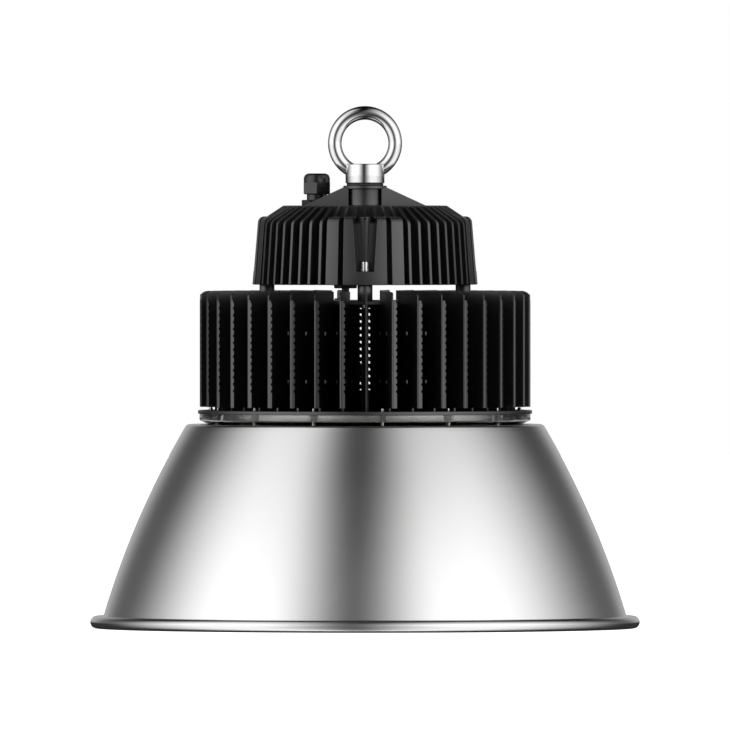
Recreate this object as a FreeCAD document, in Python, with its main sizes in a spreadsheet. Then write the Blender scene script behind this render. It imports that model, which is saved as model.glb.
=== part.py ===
"""High bay light: a round ribbed driver on posts over a ring of sheet fins, with a clear
lens and a spun aluminium reflector below.

The reflector's bead stands on z = 0 and the light's axis is +Z. The front is -Y: turns
about the axis are counted from there towards +X. Lengths are in millimetres, angles in degrees.
"""

import FreeCAD, Part
import math
import os
import re
import Sketcher

SIZES = {
    # Reflector: one spun sheet with a flat top flange, a bulging wall and a beaded rim.
    "reflector_height": 173.6,
    "reflector_sheet": 1.5,
    "opening_radius": 127.0,
    "shoulder_radius": 149.2,
    "shoulder_bend": 4.3,
    "shoulder_lean": 30.3,
    "foot_lean": 16.3,
    "bead_ring_radius": 228.5,
    "bead_radius": 5.3,
    # Lens: a clear window with a thick screwed flange, and the seal in its groove.
    "lens_radius": 140.8,
    "lens_flange": 9.0,
    "lens_chamfer_height": 3.5,
    "lens_chamfer_width": 7.2,
    "window_thickness": 3.0,
    "chamber_radius": 115.0,
    "seal_radius": 121.0,
    "seal_width": 4.0,
    "seal_depth": 2.0,
    # Base plate, the light source under it and the screws that clamp the lower stack.
    "plate_radius": 142.1,
    "plate_thickness": 3.0,
    "lead_hole_radius": 6.0,
    "board_radius": 111.0,
    "board_thickness": 1.6,
    "chip_side": 5.0,
    "chip_height": 0.9,
    "inner_ring_radius": 42.0,
    "middle_ring_radius": 70.0,
    "outer_ring_radius": 98.0,
    "inner_ring_chips": 10,
    "middle_ring_chips": 16,
    "outer_ring_chips": 22,
    "clamp_screw_count": 14,
    "clamp_screw_turn": 6.5,
    "clamp_screw_ring": 132.0,
    "clamp_screw_radius": 1.95,
    "clamp_screw_length": 16.0,
    "clamp_head_radius": 3.6,
    "clamp_head_height": 2.6,
    # Heat sink: folded sheet fins on edge, in four groups with a short fin between them.
    "fin_positions": 40,
    "fin_turn": 0.5,
    "fin_sheet": 1.5,
    "fin_inner_radius": 25.0,
    "fin_outer_radius": 142.6,
    "fin_height": 101.3,
    "fin_corner_radius": 7.2,
    "fin_foot_gap": 2.9,
    "fin_foot_radius": 127.8,
    "fin_foot_slope": 2.0,
    "flange_width": 6.3,
    "flange_turn": 16.8,
    "inner_flange_width": 3.6,
    "short_fin_inner_radius": 91.0,
    "short_fin_outer_radius": 134.0,
    "short_fin_height": 98.7,
    # Mounting disc on the fins, and the posts that carry the driver.
    "disc_radius": 89.8,
    "disc_bore_radius": 23.3,
    "disc_thickness": 3.0,
    "disc_level": 90.2,
    "post_count": 4,
    "post_ring": 83.4,
    "post_radius": 6.4,
    "post_height": 13.6,
    "post_screw_radius": 2.5,
    "post_screw_depth": 6.0,
    "post_head_radius": 3.9,
    "post_head_height": 5.9,
    "post_washer_radius": 4.6,
    "post_washer_height": 2.6,
    "disc_head_radius": 4.3,
    "disc_head_height": 2.8,
    # Driver housing: a cast bell with ribs, four screw lugs, a neck and two webs.
    "housing_height": 67.1,
    "housing_radius": 78.0,
    "housing_top_radius": 77.0,
    "housing_shoulder_height": 61.0,
    "housing_face_radius": 69.0,
    "housing_wall": 4.0,
    "housing_roof": 5.5,
    "rib_positions": 60,
    "ribs_per_group": 8,
    "rib_first_turn": 24.0,
    "rib_foot_radius": 95.8,
    "rib_top_radius": 91.9,
    "rib_straight_height": 50.6,
    "rib_bend_radius": 8.0,
    "rib_bend_reach": 5.6,
    "rib_bend_rise": 8.2,
    "rib_thickness": 3.0,
    "rib_seat": 1.0,
    "rib_crest": 0.6,
    "small_rib_thickness": 1.6,
    "small_rib_radius": 83.5,
    "small_ribs_per_lug": 7,
    "lug_half_turn": 20.6,
    "lug_height": 57.9,
    "lug_corner_radius": 6.4,
    "lug_gap_outer_turn": 14.1,
    "lug_gap_inner_turn": 11.4,
    "lug_floor": 11.5,
    "slot_top_half_width": 10.5,
    "slot_floor_half_width": 7.7,
    "slot_back_radius": 78.5,
    "neck_radius": 14.9,
    "neck_height": 17.0,
    "neck_flange_radius": 18.5,
    "neck_flange_height": 2.8,
    "web_reach": 52.0,
    "web_thickness": 5.0,
    # Driver cover with its screws, and the driver's electronics.
    "cover_radius": 75.5,
    "cover_thickness": 3.0,
    "boss_ring": 67.5,
    "boss_radius": 5.0,
    "cover_screw_radius": 1.9,
    "cover_screw_length": 10.0,
    "cover_head_radius": 3.4,
    "cover_head_height": 1.8,
    "standoff_height": 6.0,
    "standoff_radius": 4.0,
    "standoff_ring": 50.0,
    "circuit_radius": 61.0,
    "circuit_thickness": 1.6,
    "transformer_length": 44.0,
    "transformer_width": 36.0,
    "transformer_height": 30.0,
    "capacitor_radius": 9.0,
    "capacitor_height": 34.0,
    "capacitor_spacing": 20.0,
    # Cable gland for the supply on the driver's top, empty as delivered.
    "gland_offset": 41.0,
    "gland_setback": 27.0,
    "gland_flats": 22.5,
    "gland_thread_radius": 7.9,
    "gland_base_height": 4.8,
    "gland_neck_radius": 8.6,
    "gland_neck_height": 4.7,
    "gland_nut_height": 10.6,
    "gland_dome_height": 7.2,
    "gland_dome_radius": 9.6,
    "gland_dome_corner": 3.8,
    "gland_bore_radius": 4.5,
    "gland_seal_radius": 6.6,
    "gland_seal_recess": 1.2,
    "locknut_height": 3.5,
    # Output lead between the driver and the light source.
    "plug_offset": 16.6,
    "plug_radius": 9.8,
    "plug_height": 3.3,
    "plug_thread_radius": 6.0,
    "lead_radius": 3.2,
    "lead_bow": 19.6,
    "lead_gland_flats": 17.0,
    "lead_gland_hex_height": 9.0,
    "lead_gland_height": 17.0,
    "lead_gland_dome_radius": 7.4,
    "lead_gland_chamfer": 2.0,
    # Eye bolt and its washer.
    "washer_radius": 15.6,
    "washer_thickness": 2.0,
    "collar_radius": 16.2,
    "collar_height": 16.6,
    "collar_chamfer": 1.0,
    "eye_height": 34.2,
    "eye_ring_radius": 25.7,
    "eye_section_radius": 5.85,
    "eye_thread_radius": 8.0,
    "eye_thread_length": 16.0,
    # Running fits.
    "clearance": 0.1,
}

doc = FreeCAD.newDocument("high_bay_light")
sizes = doc.addObject("Spreadsheet::Sheet", "sizes")
for row, (alias, size) in enumerate(SIZES.items(), 1):
    sizes.set(f"A{row}", alias)
    sizes.set(f"B{row}", str(size))
    sizes.setAlias(f"B{row}", alias)
doc.recompute()
reader = doc.addObject("App::FeaturePython", "reader")


def bound(text):
    """The expression text, with every alias written as the sheet's own cell."""
    return re.sub(r"[a-z]\w*", lambda word: "sizes." + word[0] if word[0] in SIZES else word[0], text)


def value(text):
    """What an expression gives with the sheet's present sizes."""
    return float(reader.evalExpression(bound(text)))


# Levels above the reflector's foot, each worked out from the one below.
LENS_TOP = "(reflector_height + lens_flange)"
PLATE_TOP = f"({LENS_TOP} + plate_thickness)"
DISC_BOTTOM = f"({PLATE_TOP} + disc_level)"
DISC_TOP = f"({DISC_BOTTOM} + disc_thickness)"
HOUSING_BOTTOM = f"({DISC_TOP} + post_height)"
HOUSING_TOP = f"({HOUSING_BOTTOM} + housing_height)"
ROOF = f"({HOUSING_TOP} - housing_roof)"
NECK_TOP = f"({HOUSING_TOP} + neck_height)"
COVER_TOP = f"({HOUSING_BOTTOM} + cover_thickness)"
CIRCUIT_TOP = f"({COVER_TOP} + standoff_height + circuit_thickness)"
COLLAR_BOTTOM = f"({NECK_TOP} + washer_thickness)"
FRONT = "-90"


# ---- How the pieces are drawn ----

def body(node, turn="0", x="0", y="0"):
    """An empty body for one piece, turned about the light's axis or set beside it."""
    made = doc.addObject("PartDesign::Body", node)
    made.Label = node
    made.AllowCompound = True
    made.Placement = FreeCAD.Placement(FreeCAD.Vector(), FreeCAD.Rotation(FreeCAD.Vector(0, 0, 1), 1))
    made.setExpression("Placement.Rotation.Angle", bound(turn))
    made.setExpression("Placement.Base.x", bound(x))
    made.setExpression("Placement.Base.y", bound(y))
    return made


def origin_part(owner, role):
    """One of the body's own planes or axes."""
    return next(part for part in owner.Origin.OriginFeatures if part.Role == role)


def pin_point(sketch, shape, end, point):
    """Hold one point of a sketch at its two expressions."""
    for kind, text in zip(("DistanceX", "DistanceY"), point):
        index = sketch.addConstraint(Sketcher.Constraint(kind, -1, 1, shape, end, value(text)))
        sketch.setExpression(f"Constraints[{index}]", bound(text))


def arc_between(start, end, radius, left):
    """The short arc from start to end that turns left or right, and which of its ends is the start."""
    chord = end - start
    side = FreeCAD.Vector(-chord.y, chord.x, 0).normalize() * (1 if left else -1)
    centre = (start + end) * 0.5 + side * math.sqrt(radius ** 2 - (chord.Length / 2) ** 2)
    first, last = (start, end) if left else (end, start)
    angles = [math.atan2((point - centre).y, (point - centre).x) for point in (first, last)]
    circle = Part.Circle(centre, FreeCAD.Vector(0, 0, 1), radius)
    return Part.ArcOfCircle(circle, *angles), (1 if left else 2)


def draw(sketch, outline):
    """A closed outline: (x, y) points joined by lines, or by an arc to the next point where a
    point also has a radius, and True for a left or False for a right turn."""
    points = [FreeCAD.Vector(value(point[0]), value(point[1]), 0) for point in outline]
    ends = []
    for index, point in enumerate(outline):
        start, end = points[index], points[(index + 1) % len(points)]
        if len(point) == 2:
            ends.append((sketch.addGeometry(Part.LineSegment(start, end), False), 1, 2))
            continue
        arc, first = arc_between(start, end, value(point[2]), point[3])
        shape = sketch.addGeometry(arc, False)
        ends.append((shape, first, 3 - first))
        held = sketch.addConstraint(Sketcher.Constraint("Radius", shape, value(point[2])))
        sketch.setExpression(f"Constraints[{held}]", bound(point[2]))
    for index, (shape, first, _) in enumerate(ends):
        before, _, last = ends[index - 1]
        sketch.addConstraint(Sketcher.Constraint("Coincident", before, last, shape, first))
        pin_point(sketch, shape, first, outline[index])


def draw_circle(sketch, x, y, radius):
    """A circle held by its centre and its radius."""
    centre = FreeCAD.Vector(value(x), value(y), 0)
    shape = sketch.addGeometry(Part.Circle(centre, FreeCAD.Vector(0, 0, 1), value(radius)), False)
    pin_point(sketch, shape, 3, (x, y))
    held = sketch.addConstraint(Sketcher.Constraint("Radius", shape, value(radius)))
    sketch.setExpression(f"Constraints[{held}]", bound(radius))


def sketch_on(owner, plane, outlines=(), circles=(), right="0", up="0", out="0", turn="0"):
    """A sketch on one of the body's planes, moved along it or out of it, or turned about its up axis."""
    sketch = owner.newObject("Sketcher::SketchObject", owner.Name + "_sketch")
    sketch.AttachmentSupport = [(origin_part(owner, plane), "")]
    sketch.MapMode = "FlatFace"
    sketch.AttachmentOffset = FreeCAD.Placement(FreeCAD.Vector(), FreeCAD.Rotation(FreeCAD.Vector(0, 1, 0), 1))
    sketch.setExpression("AttachmentOffset.Rotation.Angle", bound(turn))
    for axis, text in zip("xyz", (right, up, out)):
        sketch.setExpression(f"AttachmentOffset.Base.{axis}", bound(text))
    for outline in outlines:
        draw(sketch, outline)
    for circle in circles:
        draw_circle(sketch, *circle)
    return sketch


def revolve(owner, sketch, axis="V_Axis", angle="360"):
    """Turn a sketch about one of its own axes, evenly to both sides."""
    made = owner.newObject("PartDesign::Revolution", owner.Name + "_turned")
    made.Profile = sketch
    made.ReferenceAxis = (sketch, [axis])
    made.Midplane = True
    made.setExpression("Angle", bound(angle))
    owner.Tip = made
    return made


def turned(owner, outline, offset="0"):
    """A turned shape: its half outline as (radius, level), about the body's or a parallel axis."""
    return revolve(owner, sketch_on(owner, "XZ_Plane", [outline], right=offset))


def pad(owner, sketch, length, both_ways=False):
    """Raise a sketch by a length."""
    made = owner.newObject("PartDesign::Pad", owner.Name + "_pad")
    made.Profile = sketch
    made.SideType = "Symmetric" if both_ways else "One side"
    made.setExpression("Length", bound(length))
    owner.Tip = made
    return made


def pocket(owner, sketch, length, forwards=True):
    """Cut a sketch out of the body, along the sketch's normal or against it."""
    doc.recompute()
    before = owner.Shape.Volume
    made = owner.newObject("PartDesign::Pocket", owner.Name + "_cut")
    made.Profile = sketch
    made.Reversed = forwards
    made.setExpression("Length", bound(length))
    owner.Tip = made
    doc.recompute()
    if made.Shape.Volume >= before:
        raise RuntimeError(f"{owner.Label}: a cut removed nothing")
    return made


def repeat(owner, features, count, angle="360"):
    """Repeat features about the body's axis: count copies, the last at the given angle."""
    made = owner.newObject("PartDesign::PolarPattern", owner.Name + "_ring")
    made.Originals = features
    made.Axis = (origin_part(owner, "Z_Axis"), [""])
    made.setExpression("Angle", bound(angle))
    made.setExpression("Occurrences", bound(count))
    owner.Tip = made
    return made


def repeat_groups(owner, feature, count, angle, groups):
    """Repeat one feature in a fan, and the fan about the body's axis."""
    made = owner.newObject("PartDesign::MultiTransform", owner.Name + "_fans")
    made.Originals = [feature]
    fans = []
    for number, span in ((count, angle), (groups, "360")):
        fan = owner.newObject("PartDesign::PolarPattern", owner.Name + "_fan")
        fan.Axis = (origin_part(owner, "Z_Axis"), [""])
        fan.setExpression("Angle", bound(span))
        fan.setExpression("Occurrences", bound(number))
        fans.append(fan)
    made.Transformations = fans
    owner.Tip = made
    return made


def box_outline(left, bottom, right, top):
    """A rectangle's four corners."""
    return [(left, bottom), (right, bottom), (right, top), (left, top)]


def hexagon(flats):
    """A hexagon about the origin, with corners to the left and right."""
    corners = [f"({flats}) / sqrt(3) * {part}" for part in ("1", "0.5", "-0.5", "-1", "-0.5", "0.5")]
    rows = [f"({flats}) / 2 * {part}" for part in ("0", "1", "1", "0", "-1", "-1")]
    return list(zip(corners, rows))


# ---- Reflector ----

def reflector():
    """One outline: flange, shoulder bend, bulging wall and the bead rolled round the rim."""
    made = body("reflector", turn=f"{FRONT} + clamp_screw_turn")
    inner_bend = "(shoulder_bend - reflector_sheet)"
    bend_level = "(reflector_height - shoulder_bend)"
    shoulder = ("shoulder_radius + shoulder_bend * cos(shoulder_lean)",
                f"{bend_level} + shoulder_bend * sin(shoulder_lean)")
    inner_shoulder = (f"shoulder_radius + {inner_bend} * cos(shoulder_lean)",
                      f"{bend_level} + {inner_bend} * sin(shoulder_lean)")
    inset = "(bead_radius - reflector_sheet)"
    rise = f"sqrt(bead_radius^2 - {inset}^2)"
    foot = (f"bead_ring_radius - {inset} * cos(foot_lean) - {rise} * sin(foot_lean)",
            f"bead_radius - {inset} * sin(foot_lean) + {rise} * cos(foot_lean)")
    inner_foot = ("bead_ring_radius - bead_radius * cos(foot_lean)",
                  "bead_radius - bead_radius * sin(foot_lean)")
    chord = f"sqrt(({foot[0]} - {shoulder[0]})^2 + ({shoulder[1]} - {foot[1]})^2)"
    bulge = f"({chord} / (2 * sin((shoulder_lean - foot_lean) / 2)))"
    turned(made, [
        ("opening_radius", "reflector_height - reflector_sheet"),
        ("opening_radius", "reflector_height"),
        ("shoulder_radius", "reflector_height", "shoulder_bend", False),
        (*shoulder, bulge, False),
        (*foot, "bead_radius", False),
        ("bead_ring_radius + bead_radius", "bead_radius", "bead_radius", False),
        (*inner_foot, f"{bulge} - reflector_sheet", True),
        (*inner_shoulder, inner_bend, True),
        ("shoulder_radius", "reflector_height - reflector_sheet"),
    ])
    clamp_holes(made, "reflector_height - reflector_sheet", "reflector_sheet")
    return made


def clamp_holes(owner, level, depth):
    """The ring of holes for the screws that clamp plate, lens and reflector together."""
    hole = sketch_on(owner, "XY_Plane", out=level,
                     circles=[("clamp_screw_ring", "0", "clamp_screw_radius + clearance")])
    cut = pocket(owner, hole, depth)
    repeat(owner, [cut], "clamp_screw_count")


# ---- Lower stack: lens, seal, base plate and light source ----

def lens():
    made = body("lens", turn=f"{FRONT} + clamp_screw_turn")
    window_bottom = "reflector_height - window_thickness"
    window_radius = "opening_radius - 4 * clearance"
    seal_inner = "seal_radius - seal_width / 2 - clearance"
    seal_outer = "seal_radius + seal_width / 2 + clearance"
    turned(made, [
        ("0", window_bottom),
        (window_radius, window_bottom),
        (window_radius, "reflector_height"),
        ("lens_radius - lens_chamfer_width", "reflector_height"),
        ("lens_radius", "reflector_height + lens_chamfer_height"),
        ("lens_radius", LENS_TOP),
        (seal_outer, LENS_TOP),
        (seal_outer, f"{LENS_TOP} - seal_depth"),
        (seal_inner, f"{LENS_TOP} - seal_depth"),
        (seal_inner, LENS_TOP),
        ("chamber_radius", LENS_TOP),
        ("chamber_radius", "reflector_height"),
        ("0", "reflector_height"),
    ])
    clamp_holes(made, "reflector_height", "lens_flange")
    return made


def lens_gasket():
    made = body("lens_gasket")
    turned(made, box_outline("seal_radius - seal_width / 2", f"{LENS_TOP} - seal_depth",
                             "seal_radius + seal_width / 2", LENS_TOP))
    return made


def base_plate():
    made = body("base_plate", turn=f"{FRONT} + clamp_screw_turn")
    turned(made, box_outline("lead_hole_radius", LENS_TOP, "plate_radius", PLATE_TOP))
    clamp_holes(made, LENS_TOP, "plate_thickness")
    return made


def led_board():
    made = body("led_board")
    turned(made, box_outline("lead_hole_radius", f"{LENS_TOP} - board_thickness", "board_radius", LENS_TOP))
    return made


def led_chips():
    """Three rings of square chips on the underside of their board."""
    made = body("led_chips", turn=FRONT)
    level = f"{LENS_TOP} - board_thickness - chip_height"
    for ring in ("inner", "middle", "outer"):
        radius = f"{ring}_ring_radius"
        square = box_outline(f"{radius} - chip_side / 2", "-chip_side / 2",
                             f"{radius} + chip_side / 2", "chip_side / 2")
        chip = pad(made, sketch_on(made, "XY_Plane", [square], out=level), "chip_height")
        repeat(made, [chip], f"{ring}_ring_chips")
    return made


def clamp_screws():
    """Pan head screws, up through reflector, lens and seal into the base plate."""
    made = body("clamp_screws", turn=f"{FRONT} + clamp_screw_turn")
    seat = "(reflector_height - reflector_sheet)"
    screw = turned(made, [
        ("0", f"{seat} - clamp_head_height"),
        ("clamp_head_radius", f"{seat} - clamp_head_height"),
        ("clamp_head_radius", seat),
        ("clamp_screw_radius", seat),
        ("clamp_screw_radius", f"{seat} + clamp_screw_length"),
        ("0", f"{seat} + clamp_screw_length"),
    ], offset="clamp_screw_ring")
    repeat(made, [screw], "clamp_screw_count")
    return made


# ---- Heat sink ----

def fin_plate(owner):
    """The upright sheet of a full fin, stepped down under the disc and cut back over the screws."""
    half = "fin_sheet / 2"
    foot = f"({PLATE_TOP} + fin_foot_gap)"
    top = f"({PLATE_TOP} + fin_height)"
    outline = [
        ("fin_inner_radius", PLATE_TOP),
        ("fin_foot_radius", PLATE_TOP),
        ("fin_foot_radius + fin_foot_slope", foot),
        ("fin_outer_radius", foot),
        ("fin_outer_radius", f"{top} - fin_corner_radius", "fin_corner_radius", True),
        ("fin_outer_radius - fin_corner_radius", top),
        ("disc_radius + 3 * clearance", top),
        ("disc_radius + 3 * clearance", DISC_BOTTOM),
        ("fin_inner_radius", DISC_BOTTOM),
    ]
    sheet = pad(owner, sketch_on(owner, "XZ_Plane", [outline]), "fin_sheet", both_ways=True)
    far = ("fin_outer_radius", f"-{half}")
    free = ("fin_outer_radius - flange_width * sin(flange_turn)", f"flange_width * cos(flange_turn) - {half}")
    flange = [
        far,
        free,
        (f"{free[0]} - fin_sheet * cos(flange_turn)", f"{free[1]} - fin_sheet * sin(flange_turn)"),
        (f"fin_outer_radius - fin_sheet / cos(flange_turn)", f"-{half}"),
    ]
    fold = pad(owner, sketch_on(owner, "XY_Plane", [flange], out=foot),
               "fin_height - fin_corner_radius - fin_foot_gap")
    inner = box_outline("fin_inner_radius", f"-{half}", "fin_inner_radius + fin_sheet",
                        f"inner_flange_width - {half}")
    inner_fold = pad(owner, sketch_on(owner, "XY_Plane", [inner], out=PLATE_TOP), "disc_level")
    return [sheet, fold, inner_fold]


def fin_group(node, quarter):
    """The nine full fins of one quarter."""
    pitch = "360 / fin_positions"
    made = body(node, turn=f"{FRONT} + fin_turn + {quarter} * 90 + {pitch}")
    repeat(made, fin_plate(made), "fin_positions / 4 - 1", f"90 - 2 * {pitch}")
    return made


def short_fins():
    """The four narrow fins in front of the posts."""
    made = body("short_fins", turn=f"{FRONT} + fin_turn")
    outline = box_outline("short_fin_inner_radius", PLATE_TOP,
                          "short_fin_outer_radius", f"{PLATE_TOP} + short_fin_height")
    clear_foot = [
        ("short_fin_inner_radius", PLATE_TOP),
        ("fin_foot_radius", PLATE_TOP),
        ("fin_foot_radius + fin_foot_slope", f"{PLATE_TOP} + fin_foot_gap"),
        ("short_fin_outer_radius", f"{PLATE_TOP} + fin_foot_gap"),
        *outline[2:],
    ]
    fin = pad(made, sketch_on(made, "XZ_Plane", [clear_foot]), "fin_sheet", both_ways=True)
    repeat(made, [fin], "post_count")
    return made


def mounting_disc():
    made = body("mounting_disc", turn=FRONT)
    turned(made, box_outline("disc_bore_radius", DISC_BOTTOM, "disc_radius", DISC_TOP))
    hole = sketch_on(made, "XY_Plane", out=DISC_BOTTOM,
                     circles=[("post_ring", "0", "post_screw_radius + clearance")])
    repeat(made, [pocket(made, hole, "disc_thickness")], "post_count")
    return made


# ---- Posts between heat sink and driver ----

def post(node, quarter):
    """A turned spacer, bored from both ends."""
    made = body(node, turn=f"{FRONT} + {quarter} * 90")
    thread = "post_screw_radius + clearance"
    lower = f"{DISC_TOP} + post_screw_depth"
    upper = f"{HOUSING_BOTTOM} - post_screw_depth"
    turned(made, [
        (thread, DISC_TOP),
        ("post_radius", DISC_TOP),
        ("post_radius", HOUSING_BOTTOM),
        (thread, HOUSING_BOTTOM),
        (thread, upper),
        ("0", upper),
        ("0", lower),
        (thread, lower),
    ], offset="post_ring")
    return made


def driver_screws():
    """Socket head screws on washers, down through the lug floors into the posts."""
    made = body("driver_screws", turn=FRONT)
    seat = f"({HOUSING_BOTTOM} + lug_floor)"
    tip = f"{HOUSING_BOTTOM} - post_screw_depth + 2 * clearance"
    head = f"({seat} + post_washer_height)"
    socket = f"{head} + post_head_height * 0.4"
    screw = turned(made, [
        ("0", tip),
        ("post_screw_radius", tip),
        ("post_screw_radius", seat),
        ("post_washer_radius", seat),
        ("post_washer_radius", head),
        ("post_head_radius", head),
        ("post_head_radius", f"{head} + post_head_height"),
        ("post_head_radius / 2", f"{head} + post_head_height"),
        ("post_head_radius / 2", socket),
        ("0", socket),
    ], offset="post_ring")
    repeat(made, [screw], "post_count")
    return made


def disc_screws():
    """Pan head screws, up through the mounting disc into the posts."""
    made = body("disc_screws", turn=FRONT)
    tip = f"{DISC_TOP} + post_screw_depth - 2 * clearance"
    screw = turned(made, [
        ("0", f"{DISC_BOTTOM} - disc_head_height"),
        ("disc_head_radius", f"{DISC_BOTTOM} - disc_head_height"),
        ("disc_head_radius", DISC_BOTTOM),
        ("post_screw_radius", DISC_BOTTOM),
        ("post_screw_radius", tip),
        ("0", tip),
    ], offset="post_ring")
    repeat(made, [screw], "post_count")
    return made


# ---- Driver ----

def driver_housing():
    """One casting: the bell with its neck and inner bosses, the lugs, the ribs and the webs."""
    made = doc.addObject("Part::MultiFuse", "driver_housing")
    made.Label = "driver_housing"
    made.Shapes = [housing_bell(), housing_lugs(), housing_ribs(), housing_webs()]
    made.Refine = True
    return made


HOUSING_ROOT = "(cover_radius + 5 * clearance)"
LUG_TOP = f"({HOUSING_BOTTOM} + lug_height)"


def housing_bell():
    """The turned core: outer wall, shoulder, top face, neck, bore for the eye bolt and the cavity."""
    made = body("housing_bell", turn=FRONT)
    cavity = "(housing_radius - housing_wall)"
    corner = "(housing_roof * 1.4)"
    thread_end = f"{NECK_TOP} - eye_thread_length"
    turned(made, [
        ("housing_radius", HOUSING_BOTTOM),
        ("housing_top_radius", f"{HOUSING_BOTTOM} + housing_shoulder_height"),
        ("housing_face_radius", HOUSING_TOP),
        ("neck_radius", HOUSING_TOP),
        ("neck_radius", f"{NECK_TOP} - neck_flange_height"),
        ("neck_flange_radius", f"{NECK_TOP} - neck_flange_height"),
        ("neck_flange_radius", NECK_TOP),
        ("eye_thread_radius + clearance", NECK_TOP),
        ("eye_thread_radius + clearance", thread_end),
        ("0", thread_end),
        ("0", ROOF),
        (f"{cavity} - {corner}", ROOF),
        (cavity, f"{ROOF} - {corner}"),
        (cavity, COVER_TOP),
        ("cover_radius + clearance", COVER_TOP),
        ("cover_radius + clearance", HOUSING_BOTTOM),
    ])
    around = "boss_ring * cos(45)"
    boss = pad(made, sketch_on(made, "XY_Plane", out=COVER_TOP, circles=[(around, around, "boss_radius")]),
               f"{ROOF} - {COVER_TOP}")
    hole = sketch_on(made, "XY_Plane", out=COVER_TOP, circles=[(around, around, "cover_screw_radius + clearance")])
    repeat(made, [boss, pocket(made, hole, "cover_screw_length")], "post_count")
    gland_hole = sketch_on(made, "XY_Plane", out=ROOF,
                           circles=[("-gland_setback", "-gland_offset", "gland_thread_radius + clearance")])
    pocket(made, gland_hole, "housing_roof")
    return made


def housing_lugs():
    """Four screw lugs: a slotted block between two flat panels."""
    made = body("housing_lugs", turn=FRONT)
    outline = [
        (HOUSING_ROOT, HOUSING_BOTTOM),
        ("rib_foot_radius", HOUSING_BOTTOM),
        ("rib_top_radius", f"{LUG_TOP} - lug_corner_radius", "lug_corner_radius", True),
        ("rib_top_radius - lug_corner_radius", LUG_TOP),
        (HOUSING_ROOT, LUG_TOP),
    ]
    block = revolve(made, sketch_on(made, "XZ_Plane", [outline]), angle="2 * lug_half_turn")
    slot = [
        ("-slot_floor_half_width", f"{HOUSING_BOTTOM} + lug_floor"),
        ("slot_floor_half_width", f"{HOUSING_BOTTOM} + lug_floor"),
        ("slot_top_half_width", LUG_TOP),
        ("-slot_top_half_width", LUG_TOP),
    ]
    slot_cut = pocket(made, sketch_on(made, "YZ_Plane", [slot], out="slot_back_radius"), "rib_foot_radius / 2")
    past = "(rib_foot_radius * 1.05)"
    gaps = []
    for side in ("1", "-1"):
        inner, outer = f"(lug_gap_inner_turn * {side})", f"(lug_gap_outer_turn * {side})"
        gaps.append([
            (f"slot_back_radius * cos{inner}", f"slot_back_radius * sin{inner}"),
            (f"{past} * cos{inner}", f"{past} * sin{inner}"),
            (f"{past} * cos{outer}", f"{past} * sin{outer}"),
            (f"slot_back_radius * cos{outer}", f"slot_back_radius * sin{outer}"),
        ])
    gap_cut = pocket(made, sketch_on(made, "XY_Plane", gaps, out=HOUSING_BOTTOM), "lug_height")
    hole = sketch_on(made, "XY_Plane", out=HOUSING_BOTTOM,
                     circles=[("post_ring", "0", "post_screw_radius + clearance")])
    hole_cut = pocket(made, hole, "lug_floor")
    repeat(made, [block, slot_cut, gap_cut, hole_cut], "post_count")
    return made


def housing_ribs():
    """Tall ribs between the lugs, and low ones on the shoulder over them."""
    made = body("housing_ribs", turn=FRONT)
    inner_shoulder = (HOUSING_ROOT, f"{HOUSING_BOTTOM} + housing_shoulder_height - housing_roof")
    seat = ("housing_face_radius - rib_seat", f"{HOUSING_TOP} - housing_roof / 2")
    crest = ("housing_face_radius + rib_crest", HOUSING_TOP)
    bend = f"({HOUSING_BOTTOM} + rib_straight_height)"
    tall = [
        (HOUSING_ROOT, HOUSING_BOTTOM),
        ("rib_foot_radius", HOUSING_BOTTOM),
        ("rib_top_radius", bend, "rib_bend_radius", True),
        ("rib_top_radius - rib_bend_reach", f"{bend} + rib_bend_rise"),
        crest,
        seat,
        inner_shoulder,
    ]
    low = [
        (HOUSING_ROOT, f"{LUG_TOP} - rib_seat"),
        ("small_rib_radius", f"{LUG_TOP} - rib_seat"),
        ("small_rib_radius", LUG_TOP),
        crest,
        seat,
    ]
    pitch = "360 / rib_positions"
    rib = pad(made, sketch_on(made, "XZ_Plane", [tall], turn="rib_first_turn"), "rib_thickness", both_ways=True)
    repeat_groups(made, rib, "ribs_per_group", f"(ribs_per_group - 1) * {pitch}", "post_count")
    low_start = f"-(small_ribs_per_lug - 1) / 2 * {pitch}"
    low_rib = pad(made, sketch_on(made, "XZ_Plane", [low], turn=low_start), "small_rib_thickness", both_ways=True)
    repeat_groups(made, low_rib, "small_ribs_per_lug", f"(small_ribs_per_lug - 1) * {pitch}", "post_count")
    return made


def housing_webs():
    """Two flat webs that brace the neck to the left and right."""
    made = body("housing_webs", turn=FRONT)
    web_top = f"{NECK_TOP} - neck_flange_height / 2"
    web = [
        ("neck_radius - rib_seat", f"{HOUSING_TOP} - rib_seat"),
        ("web_reach", f"{HOUSING_TOP} - rib_seat"),
        ("web_reach", HOUSING_TOP),
        ("neck_flange_radius", web_top),
        ("neck_radius - rib_seat", web_top),
    ]
    brace = pad(made, sketch_on(made, "XZ_Plane", [web], turn="90"), "web_thickness", both_ways=True)
    repeat(made, [brace], "2")
    return made


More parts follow.
